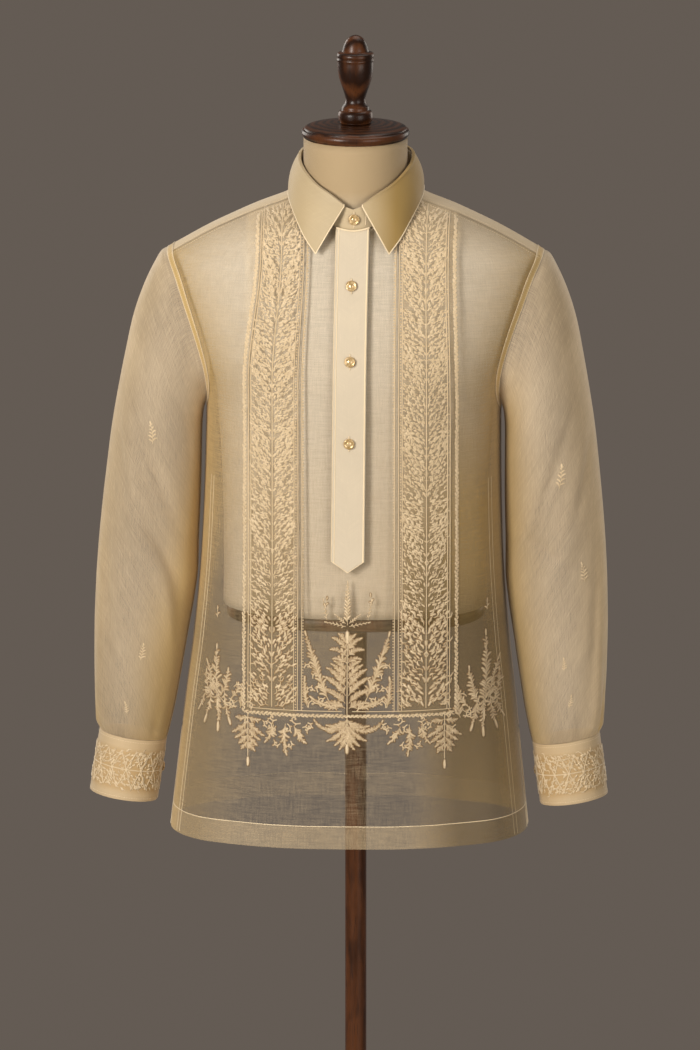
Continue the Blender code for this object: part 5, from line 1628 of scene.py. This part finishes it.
class HangBody(PiecesOperator):
    """Hang the front and the back, single sheer cloth from the shoulders to the hem"""
    bl_idname = "barong.hang_body"
    bl_label = "Hang front and back"

    def execute(self, context):
        for name, side in SIDES:
            grid = panel(panel_columns(*PANEL_COLUMNS), side, *PANEL_ROWS)
            warmth, density, shade = side_masks(grid)
            grid = GRIDS[name] = leaned(grid)
            if side > 0:
                # the back keeps a third of the density and half of the painted shade
                density, shade, pale = 0.3 * density, 0.5 * shade, 0 * shade
            else:
                # Over the bands the ground is golden; painted shade makes it darker low down, and warmer and darker on
                # the left band, away from the key light.
                ground, high, left = band_ground(grid), grid[..., 2], grid[..., 0] > 0
                golden = np.interp(high, (0.98, 1.10, 1.24), (0.62, 0.54, 0.34))
                warmth = np.maximum(warmth, ground * (golden + 0.14 * left))
                density = density + ground * np.interp(high, (0.96, 1.04, 1.12, 1.22), (0.02, 0.20, 0.46, 0.80))
                shade = np.maximum(shade, ground * (np.interp(high, (0.98, 1.12), (0.42, 0.04)) + np.interp(high,
                    (0.98, 1.25), (0.22, 0.0)) * left))
                # pale: painted light that lifts the bands' ground towards the shoulders against the leaves' own
                # shadows
                pale = ground * np.interp(high, (1.02, 1.20), (0.0, 0.7))
            made = grid_object(name + "_cloth", grid, flip=side > 0, warmth=warmth, density=density, shade=shade,
                pale=pale)
            finish_piece(made, "body" if side < 0 else "back", "sheer_cloth", name)
        return {"FINISHED"}


class HangYoke(PiecesOperator):
    """Lay the doubled yoke over the shoulders"""
    bl_idname = "barong.hang_yoke"
    bl_label = "Lay yoke"

    def execute(self, context):
        grid = yoke_grid(*YOKE_DIVISIONS)
        GRIDS["yoke"] = leaned(grid)
        made = grid_object("yoke_cloth", GRIDS["yoke"], warmth=0.25 * (0.75 * side_share(grid) ** 8.0))
        finish_piece(made, "yoke", "sheer_cloth", "yoke")
        return {"FINISHED"}


class HangSleeves(PiecesOperator):
    """Hang both sleeves, pleated into their cuffs"""
    bl_idname = "barong.hang_sleeves"
    bl_label = "Hang sleeves"

    def execute(self, context):
        start = LAST_RING - 3  # the pleats begin three rings above the cuff and take closer rows
        rings = np.concatenate((np.linspace(0, start, SLEEVE_ROWS), np.linspace(start, LAST_RING, PLEAT_ROWS)[1:]))
        angle = np.linspace(0, 2 * pi, SLEEVE_SIDES, endpoint=False)
        degrees, share = np.degrees(angle), rings[:, None] / LAST_RING
        fade = np.clip(rings / 3, 0, 1)[:, None]
        wide, low = np.clip((share - 0.35) / 0.45, 0, 1), np.clip((share - 0.62) / 0.30, 0, 1)
        pleats = sum(np.exp(-((degrees - turn) / 3.2) ** 2) for turn in (14, 27, 158, 171))
        near = np.clip((rings - 13.2) / 2.2, 0, 1)[:, None]
        for side, hand in HANDS:
            inner, outer = -np.cos(angle)[None, :], np.clip(np.cos(angle), 0, 1)[None, :]
            if side < 0:
                inner, outer = np.clip(inner + 0.35 * wide, 0, 1) ** (4 - 2.9 * wide), outer ** 3
                deep, deep_low, deep_high, cover, turns = 0.14 * low, 0.18, 0.10, 0.02, (84, 76)
            else:
                inner, outer = np.clip(inner + 0.1, 0, 1) ** 2.2, outer ** 1.5
                deep, deep_low, deep_high, cover, turns = 0.46, 0.08, 0.0, 0.17, (98, 88)
            # Painted shade: the inner side, towards the body, is warmer and darker, most on the left sleeve, which
            # faces away from the key light, and the lower sleeve is darker too; the outer side and the pleats near the
            # cuff are warmer.
            warmth = np.minimum(fade * (0.72 * inner + 0.32 * outer) + near * 0.45 * pleats, 0.9)
            shade = fade * (deep * inner + deep_low * low) + deep_high * np.clip(share / 0.4, 0, 1)
            density = cover + 0.16 * (1 - share) ** 2 + 0 * shade
            # pale: a painted highlight, a lighter streak down the front of each sleeve
            pale = sum(value * np.exp(-((degrees - turn) / 24) ** 2 - ((share - at) / 0.14) ** 2) for turn, at,
                value in zip(turns, (0.27, 0.80), (0.70, 0.45)))
            grid = GRIDS["sleeve_" + hand] = leaned(sleeve_grid(side, rings, len(angle)))
            made = grid_object("sleeve_cloth_" + hand, grid, closed=True, flip=side < 0, warmth=warmth,
                density=density, shade=shade, pale=pale)
            finish_piece(made, "sleeve", "sheer_cloth", "sleeve_" + hand)
        return {"FINISHED"}


def eased_rows(grid, count, pieces):
    """Rounds the turn in a grid's first rows by a curve through them."""
    rows = []
    padded = np.concatenate((2 * grid[:1] - grid[1:2], grid))
    for k in range(count):
        a, b, c, d = padded[k:k + 4]
        for t in np.linspace(0, 1, pieces, endpoint=False):
            rows.append(0.5 * (2 * b + (c - a) * t + (2 * a - 5 * b + 4 * c - d) * t * t + (3 * b - a - 3 * c + d) * t
                ** 3))
    return np.concatenate((np.array(rows), grid[count:]))


class FitCollar(PiecesOperator):
    """Fit the collar stand and turn the leaf down over it"""
    bl_idname = "barong.fit_collar"
    bl_label = "Fit collar"

    def execute(self, context):
        made = grid_object("collar_stand_cloth", leaned(stand_grid(*STAND_DIVISIONS)), closed=True)
        thicken(made, COLLAR_WALL, 0.0003)
        finish_piece(made, "firm", "firm_cloth", "collar_stand")
        grid = GRIDS["leaf"] = leaned(eased_rows(leaf_grid(*LEAF_DIVISIONS), 2, 5))
        # Warmer towards the back of the leaf; on the left leaf, which faces away from the key light, painted shade
        # makes it warmer and darker.
        left = np.clip(grid[..., 0] / 0.05, 0, 1)
        warmth = 0.34 * np.clip((np.abs(grid[..., 0]) - 0.030) / 0.045, 0, 1) + 0.85 * left
        made = grid_object("collar_leaf_cloth", grid, flip=True, warmth=warmth, shade=0.16 * left)
        thicken(made, COLLAR_WALL, 0.0004)
        finish_piece(made, "firm", "firm_cloth", "collar_leaf")
        return {"FINISHED"}


class FitPlacket(PiecesOperator):
    """Lay the pointed placket down the middle of the front"""
    bl_idname = "barong.fit_placket"
    bl_label = "Fit placket"

    def execute(self, context):
        across = np.linspace(-PLACKET_HALF_WIDTH, PLACKET_HALF_WIDTH, PLACKET_COLUMNS)
        neck_y = -NECK_FRONT * np.sqrt(1 - (across / NECK_HALF_WIDTH) ** 2)
        top_z = height_at(across, neck_y, -1) - 2 * SEAM_GAP
        low_z = PLACKET_TIP_Z + np.abs(across) * (PLACKET_CORNER_Z - PLACKET_TIP_Z) / PLACKET_HALF_WIDTH
        z = low_z + (top_z - low_z) * np.linspace(0, 1, PLACKET_ROWS)[:, None]
        places = np.stack((across + lean_at(z), z), 2).reshape(-1, 2)
        grid = Surface(piece("front_cloth")).from_front(places)[0].reshape(PLACKET_ROWS, PLACKET_COLUMNS, 3)
        for _ in range(2):
            grid[1:-1] = (grid[:-2] + 2 * grid[1:-1] + grid[2:]) / 4
        grid = GRIDS["placket"] = grid + normals(grid) * (SHEER_WALL + PLACKET_GAP)
        made = grid_object("placket_cloth", grid)
        thicken(made, SHEER_WALL, 0.0003)
        finish_piece(made, "placket", "firm_cloth", "placket")
        return {"FINISHED"}


class FitCuffs(PiecesOperator):
    """Close the sleeves with firm cuffs"""
    bl_idname = "barong.fit_cuffs"
    bl_label = "Fit cuffs"

    def execute(self, context):
        for side, hand in HANDS:
            grid = GRIDS["cuff_" + hand] = leaned(cuff_grid(side, *CUFF_DIVISIONS))
            x, down = grid[..., 0], np.linspace(0, 1, len(grid))[:, None]
            warmth = 0.18 + 0.42 * np.clip((0.36 - np.abs(down - 0.52)) / 0.06, 0, 1)
            warmth = warmth + 0.28 * np.clip(-side * (x - x.mean()) / (np.ptp(x) / 2), 0, 1)
            made = grid_object("cuff_cloth_" + hand, grid, closed=True, flip=side < 0, warmth=warmth)
            thicken(made, CUFF_WALL, 0.0004)
            finish_piece(made, "cuff", "firm_cloth", "cuff_" + hand)
        return {"FINISHED"}


class TurnEdges(PiecesOperator):
    """Turn up the hem, roll the vents' edges and fell the seams"""
    bl_idname = "barong.turn_edges"
    bl_label = "Turn edges"

    def execute(self, context):
        given = context.scene.barong_cloth
        for name, side in SIDES:
            grid = GRIDS[name]
            inside = (grid + side * normals(grid) * 0.0005)[:hem_rows(grid, given.hem_depth) + 1]
            made = grid_object(name + "_hem", np.concatenate((grid[:1], inside)), flip=side > 0)
            finish_piece(made, "fold" if side < 0 else "inner fold", "sheer_cloth")
            z = grid[:, 0, 2]
            seam = (z > VENT_TOP_Z - 0.004) & (z < UNDERARM_Z + 0.001)
            for hand, word in HANDS:
                for part, width, rows, out in (("vent_edge", "vent", z < VENT_TOP_Z, side), ("side_seam", "seam", seam,
                        -side)):
                    strip = edge_strip(grid, hand, EDGES[name][width], rows, off=EDGE_LIFT * out)
                    made = grid_object(f"{name}_{part}_{word}", strip)
                    finish_piece(made, "fold", "sheer_cloth")
        shell = Surface(*(piece(name + "_cloth") for name in ("front", "back", "yoke")))
        for side, hand in HANDS:
            sleeve = GRIDS["sleeve_" + hand]
            ring = sleeve[0]
            away = ring - ARMHOLE_EYE
            edge, ways = shell.nearest(ring, away)
            inward = np.cross(ways, np.roll(ring, -1, axis=0) - np.roll(ring, 1, axis=0))
            inward = unit(-facing(inward, np.array((side, 0, 0))))
            found = [shell.nearest(edge + inward * width, away) for width in np.linspace(0.0003, given.seam_width, 6)]
            grid = np.array([points + normal * 0.0006 for points, normal in found])
            for _ in range(3):
                grid = (np.roll(grid, 1, axis=1) + 2 * grid + np.roll(grid, -1, axis=1)) / 4
            GRIDS["armhole_" + hand] = grid, np.array([normal for _, normal in found])
            made = grid_object("armhole_seam_" + hand, grid, closed=True, warmth=np.full(grid.shape[:2], 0.75))
            finish_piece(made, "felled", "sheer_cloth")
            middle = sleeve.shape[1] // 2
            strip = sleeve[:, middle - 3:middle + 3]
            outward = strip - sleeve.mean(axis=1, keepdims=True)
            strip = strip + 0.0005 * outward / np.linalg.norm(outward, axis=2, keepdims=True)
            made = grid_object("sleeve_seam_" + hand, strip, warmth=np.full(strip.shape[:2], 0.50))
            finish_piece(made, "felled", "sheer_cloth")
        return {"FINISHED"}


class StitchSeams(PiecesOperator):
    """Sew the seams, hems and edges with small even stitches"""
    bl_idname = "barong.stitch_seams"
    bl_label = "Stitch seams"

    def execute(self, context):
        given, hem_depth = context.scene.barong_stitches, context.scene.barong_cloth.hem_depth
        work, front = Needlework(0.0001), Surface(piece("front_cloth"))

        def cord(points, way, width, height, tone, off=0.0001):
            work.cord(points + way * off, way, width, height, tone)

        def sew(points, way, off, width=0.0005, tone=0.6):
            work.running(points + way * off, way, given.stitch, given.gap, width, tone)

        for name, side in SIDES:
            grid = GRIDS[name]
            ways, row, z = -side * normals(grid), hem_rows(grid, hem_depth), grid[:, 0, 2]
            if side < 0:
                cord(grid[row], ways[row], 0.0009, 0.0003, 0.8)
            sew(grid[row], ways[row], 0.0004, tone=0.9 if side < 0 else -0.6)
            sew(grid[-1] * 0.03 + grid[-2] * 0.97, ways[-2], 0.0002)
            vent, seam = z < VENT_TOP_Z, (z > VENT_TOP_Z) & (z < UNDERARM_Z)
            for hand in (-1, 1):
                column = 0 if hand < 0 else -1
                strip = edge_strip(grid, hand, EDGES[name]["vent_stitch"], vent, 7)
                way = facing(normals(strip)[:, -1], ways[vent][:, column])
                cord(strip[:, -1], way, 0.0011, 0.0005, 0.9)
                cord(strip[:, 0], way, 0.0012, 0.0006, 1.0)
                if side < 0:
                    high = np.linspace(HEM_Z + 0.002, 1.15, 120)
                    for inset in (0.0095, 0.0128):
                        x = hand * (half_width(high) - inset) + lean_at(high)
                        # on the left side these lines take a much darker tone: painted shade, away from the key light
                        cord(*front.from_front(np.stack((x, high), 1)), 0.0007, 0.0003, 0.1 if hand < 0 else -1.7)
                strip = edge_strip(grid, hand, EDGES[name]["seam_stitch"], seam)
                sew(strip[:, -1], facing(normals(strip)[:, -1], ways[seam][:, column]), 0.0006)
        yoke, leaf, placket = (GRIDS[key] for key in ("yoke", "leaf", "placket"))
        for row in (1, -2):
            sew(yoke[row], normals(yoke)[row], 0.0002, tone=0.8)
        ways = -normals(leaf)
        for edge, way in ((leaf[-1], ways[-1]), (leaf[4:, 0], ways[4:, 0]), (leaf[4:, -1], ways[4:, -1])):
            cord(edge, way, 0.0014, 0.0005, 1.0, off=0)
        ways = normals(placket)
        for column, width, height in ((-2, 0.0020, 0.0008), (0, 0.0008, 0.0004), (2, 0.0009, 0.0004)):
            cord(placket[:, column], ways[:, column], width, height, 0.9)
        cord(placket[0], ways[0], 0.0009, 0.0004, 0.8)
        cord(placket[-1] + (0.0, -0.0006, 0.0010), ways[-1], 0.0020, 0.0008, 0.8, off=0)
        fly = straight(0.0150, 1.4530, 0.0158, 1.4725, 0.002)
        cord(*Surface(piece("collar_stand_cloth")).from_front(fly), 0.0012, 0.0007, 1.0, off=0)
        for _, hand in HANDS:
            grid, ways = (closed_up(part) for part in GRIDS["armhole_" + hand])
            for row in (0, -1):
                cord(grid[row], ways[row], 0.0010, 0.0004, 0.35, off=0)
            for row in (1, 4):
                sew(grid[row], ways[row], 0.0001, tone=0.7)
            grid = GRIDS["cuff_" + hand]
            column = int(round((CUFF_BUTTON_ANGLE - 15) / 360 * grid.shape[1]))
            grid, ways = closed_up(grid), closed_up(unit(grid - grid.mean(axis=1, keepdims=True)))
            for row in (1, -2):
                sew(grid[row], ways[row], 0.0001, 0.0004, 0.8)
            cord(grid[:, column], ways[:, column], 0.0011, 0.0006, 0.7)
        finish_piece(work.make("sewing_stitches", even=True), "seam", "sheer_cloth")
        return {"FINISHED"}


class EmbroiderFront(PiecesOperator):
    """Embroider the two bands, their border and the sprays on the front"""
    bl_idname = "barong.embroider_front"
    bl_label = "Embroider front"

    def execute(self, context):
        rng = np.random.default_rng(context.scene.barong_stitches.seed)
        front = Surface(piece("front_cloth"))
        for name, embroider, lift in (("embroidered_bands", bands_and_border, 0.0002), ("embroidered_sprays",
                border_sprays, 0.0002), ("light_sprays", light_sprays, 0.0001)):
            work = Needlework(lift)
            embroider(work, front.from_front, rng)
            finish_piece(work.make(name), "thread", "sheer_cloth")
        return {"FINISHED"}


class EmbroiderSleeves(PiecesOperator):
    """Embroider the sleeves' sprigs and the cuffs' garlands"""
    bl_idname = "barong.embroider_sleeves"
    bl_label = "Embroider sleeves"

    def execute(self, context):
        rng = np.random.default_rng(context.scene.barong_stitches.seed + 1)
        places = {
            "right": ((-0.2337, 1.190, 96, 0.022), (-0.2490, 0.930, 80, 0.017), (-0.2650, 0.866, 100, 0.012)),
            "left": ((0.2400, 1.140, 84, 0.024), (0.2700, 1.026, 100, 0.020), (0.2460, 0.922, 92, 0.013),
                     (0.2520, 0.878, 80, 0.013)),
        }
        for _, hand in HANDS:
            work = Needlework()
            sprigs(work, Surface(piece("sleeve_cloth_" + hand)).from_front, places[hand], rng)
            cuff_garland(work, Band(GRIDS["cuff_" + hand]), rng)
            finish_piece(work.make("sleeve_embroidery_" + hand, even=True), "thread", "sheer_cloth")
        return {"FINISHED"}


def button_object(name, centre, outward):
    """Button with a rolled rim, a shallow dish and a small dome, and its turn and place."""
    profile = [(r * BUTTON_RADIUS, t * BUTTON_THICKNESS) for r, t in (
        (0.0, 0.95), (0.16, 0.93), (0.32, 0.80), (0.42, 0.70), (0.60, 0.72), (0.70, 0.90), (0.80, 1.0), (0.92, 0.94),
        (1.0, 0.62), (1.0, 0.40), (0.92, 0.14), (0.78, 0.0), (0.0, 0.0))]
    made = turned_object(name, profile, 48, 0.0)
    turn = outward.to_track_quat("Z", "Y").to_matrix().to_4x4()
    turn.translation = Vector(leaned(np.array(centre)))
    made.data.transform(turn)
    return made, turn


class SewButtons(PiecesOperator):
    """Sew the pearly buttons to the placket, the stand and the cuffs"""
    bl_idname = "barong.sew_buttons"
    bl_label = "Sew buttons"

    def execute(self, context):
        places = {"button_1": stand_place(*STAND_BUTTON)}
        for k, z in enumerate(FRONT_BUTTONS_Z):
            places[f"button_{k + 2}"] = placket_place(z)
        for side, hand in HANDS:
            places["cuff_button_" + hand] = cuff_place(side)
        # two bars of thread over each button, then a buttonhole's end above and below it: path, width, height, tone
        threads = [([(x, y, BUTTON_THICKNESS * 0.86) for y in (-0.0015, 0.0, 0.0015)], (0.0007, 0.0004, 0.2))
                   for x in (-0.0011, 0.0011)]
        threads += [([(0.0, y * reach, 0.0002) for y in (0.0055, 0.0075, 0.0095)], (0.0016, 0.0006, 0.1))
                    for reach in (-1, 1)]
        work = Needlework(0.0)
        for name, (centre, outward) in places.items():
            made, turn = button_object(name + "_disc", centre, outward)
            finish_piece(made, "pearl", "button", name)
            for path, sizes in threads:
                work.lenses(*(np.array([turn @ Vector(point)]) for point in path),
                    np.array([turn.to_3x3() @ Vector((0, 0, 1))]), *(np.array([size]) for size in sizes))
        finish_piece(work.make("button_threads"), "seam", "button")
        return {"FINISHED"}


class StandForm(PiecesOperator):
    """Shape the linen torso without head, arms or legs, and the plate under it"""
    bl_idname = "barong.stand_form"
    bl_label = "Shape form"

    def execute(self, context):
        grid = form_grid(*FORM_DIVISIONS)
        x, z = grid[..., 0], grid[..., 2]
        # Painted shade on the neck, in the shadow of the cap and collar, and on the left side, away from the key
        # light; the linen is also warmer towards the bottom.
        warmth = np.interp(z, (1.00, 1.10, 1.30, 1.42, 1.49), (0.52, 0.45, 0.20, 0.08, 1.0))
        warmth = np.clip(warmth + 0.28 * np.clip(x / 0.12, 0, 1) * np.interp(z, (1.15, 1.32), (1, 0)), 0, 1)
        finish_piece(capped_object("linen_form", grid, warmth=warmth), "linen", "linen", "form_torso")
        finish_piece(capped_object("form_plate", plate_grid()), "wood", "dark_wood", "bottom_plate")
        return {"FINISHED"}


class TurnWood(PiecesOperator):
    """Turn the neck cap, the finial, the pole and the round base"""
    bl_idname = "barong.turn_wood"
    bl_label = "Turn wood"

    def execute(self, context):
        sides = context.scene.barong_stand.turned_sides
        for name, profile, middle_y in (("neck_cap", NECK_CAP, NECK_MIDDLE_Y), ("finial", FINIAL, NECK_MIDDLE_Y),
                ("pole", POLE, 0.0), ("base", BASE, 0.0)):
            finish_piece(turned_object(name + "_turning", profile, sides, middle_y), "wood", "dark_wood", name)
        return {"FINISHED"}


class DeclareCloth(PiecesOperator):
    """Does nothing; the flat size of each cloth is not stated"""
    bl_idname = "barong.declare_cloth"
    bl_label = "State cloth sizes"

    def execute(self, context):
        return {"FINISHED"}


# ---- stage ----

class SetStage(PiecesOperator):
    """Set the pale floor, the soft lights, the plain backdrop and the camera"""
    bl_idname = "barong.set_stage"
    bl_label = "Set stage"

    def execute(self, context):
        given, scene = context.scene.barong_stage, context.scene
        mesh = bmesh.new()
        bmesh.ops.create_circle(mesh, cap_ends=True, segments=128, radius=given.floor_radius)
        data = bpy.data.meshes.new("floor")
        mesh.to_mesh(data)
        mesh.free()
        floor = bpy.data.objects.new("floor", data)
        floor.location = (0.0, 0.0, -0.0005)
        scene.collection.objects.link(floor)
        data.materials.append(floor_look("pale floor", given.floor_colour))

        # soft lights: place, height aimed at, width and height, share of the power, colour
        for name, place, aim_z, size, share, colour in (
                ("key", (-2.3, -3.2, 2.4), 1.15, (1.3, 2.0), 1.0, (1.0, 0.97, 0.92)),
                ("fill", (2.4, -3.3, 1.6), 1.1, (2.0, 2.6), 0.38, (1.0, 0.96, 0.90)),
                ("top", (0.3, 0.6, 3.6), 1.3, (2.0, 1.6), 0.12, (1.0, 0.96, 0.90)),
                ("back left", (-2.2, 2.6, 2.0), 1.2, (1.4, 2.0), 0.20, (1.0, 0.95, 0.88)),
                ("back right", (2.2, 2.6, 1.6), 1.1, (1.4, 2.0), 0.12, (1.0, 0.93, 0.84))):
            data = bpy.data.lights.new(name, "AREA")
            data.shape, data.energy, data.color = "RECTANGLE", given.power * share, colour
            data.size, data.size_y = size
            made = bpy.data.objects.new(name, data)
            made.location = place
            made.rotation_euler = (Vector((0.0, 0.0, aim_z)) - Vector(place)).to_track_quat("-Z", "Y").to_euler()
            scene.collection.objects.link(made)

        world = scene.world = bpy.data.worlds.new("studio")
        world.use_nodes = True
        tree = world.node_tree
        tree.nodes.clear()
        seen = node(tree, "Background", in_Color=rgba(given.backdrop), in_Strength=1.0)
        lit = node(tree, "Background", in_Color=(1.0, 0.96, 0.91, 1.0), in_Strength=0.14)
        path = node(tree, "LightPath")
        mix = node(tree, "MixShader", in_0=path.outputs["Is Camera Ray"], in_1=lit.outputs[0], in_2=seen.outputs[0])
        node(tree, "OutputWorld", in_Surface=mix.outputs[0])

        data = bpy.data.cameras.new("camera")
        data.lens, data.sensor_width = given.lens, 36.0
        data.clip_start, data.clip_end = 1.0, 100.0
        camera = scene.camera = bpy.data.objects.new("camera", data)
        up, turn = given.elevation, given.azimuth
        back = Vector((cos(up) * sin(turn), -cos(up) * cos(turn), sin(up)))
        camera.location = Vector((-0.0068, 0.0, 1.08)) + back * given.distance
        camera.rotation_euler = (-back).to_track_quat("-Z", "Y").to_euler()
        scene.collection.objects.link(camera)
        scene.view_settings.view_transform = "Standard"
        return {"FINISHED"}


OPERATORS = (HangBody, HangYoke, HangSleeves, FitCollar, FitPlacket, FitCuffs, TurnEdges, StitchSeams, EmbroiderFront,
    EmbroiderSleeves, SewButtons, StandForm, TurnWood, DeclareCloth, SetStage)


class BarongPanel(bpy.types.Panel):
    """Lists the steps that make the shirt and its form"""
    bl_idname = "VIEW3D_PT_barong"
    bl_label = "Barong Tagalog"
    bl_space_type = "VIEW_3D"
    bl_region_type = "UI"
    bl_category = "Barong"

    def draw(self, context):
        for step in OPERATORS:
            self.layout.operator(step.bl_idname)
        for name in SETTINGS:
            box = self.layout.box()
            given = getattr(context.scene, name)
            for key in given.__annotations__:
                box.prop(given, key)


SETTINGS = {"barong_cloth": BarongCloth, "barong_stitches": BarongStitches, "barong_stand": BarongStand,
    "barong_stage": BarongStage}


def register():
    for cls in (*SETTINGS.values(), *OPERATORS, BarongPanel):
        bpy.utils.register_class(cls)
    for name, cls in SETTINGS.items():
        setattr(bpy.types.Scene, name, PointerProperty(type=cls))


def unregister():
    for name in SETTINGS:
        delattr(bpy.types.Scene, name)
    for cls in (BarongPanel, *reversed(OPERATORS), *reversed(list(SETTINGS.values()))):
        bpy.utils.unregister_class(cls)


def main():
    register()
    for item in list(bpy.data.objects):
        if item.type in {"CAMERA", "LIGHT"} or item.name == "Cube":
            bpy.data.objects.remove(item, do_unlink=True)
    for step in OPERATORS:
        area, name = step.bl_idname.split(".")
        getattr(getattr(bpy.ops, area), name)()


if __name__ == "__main__":
    main()
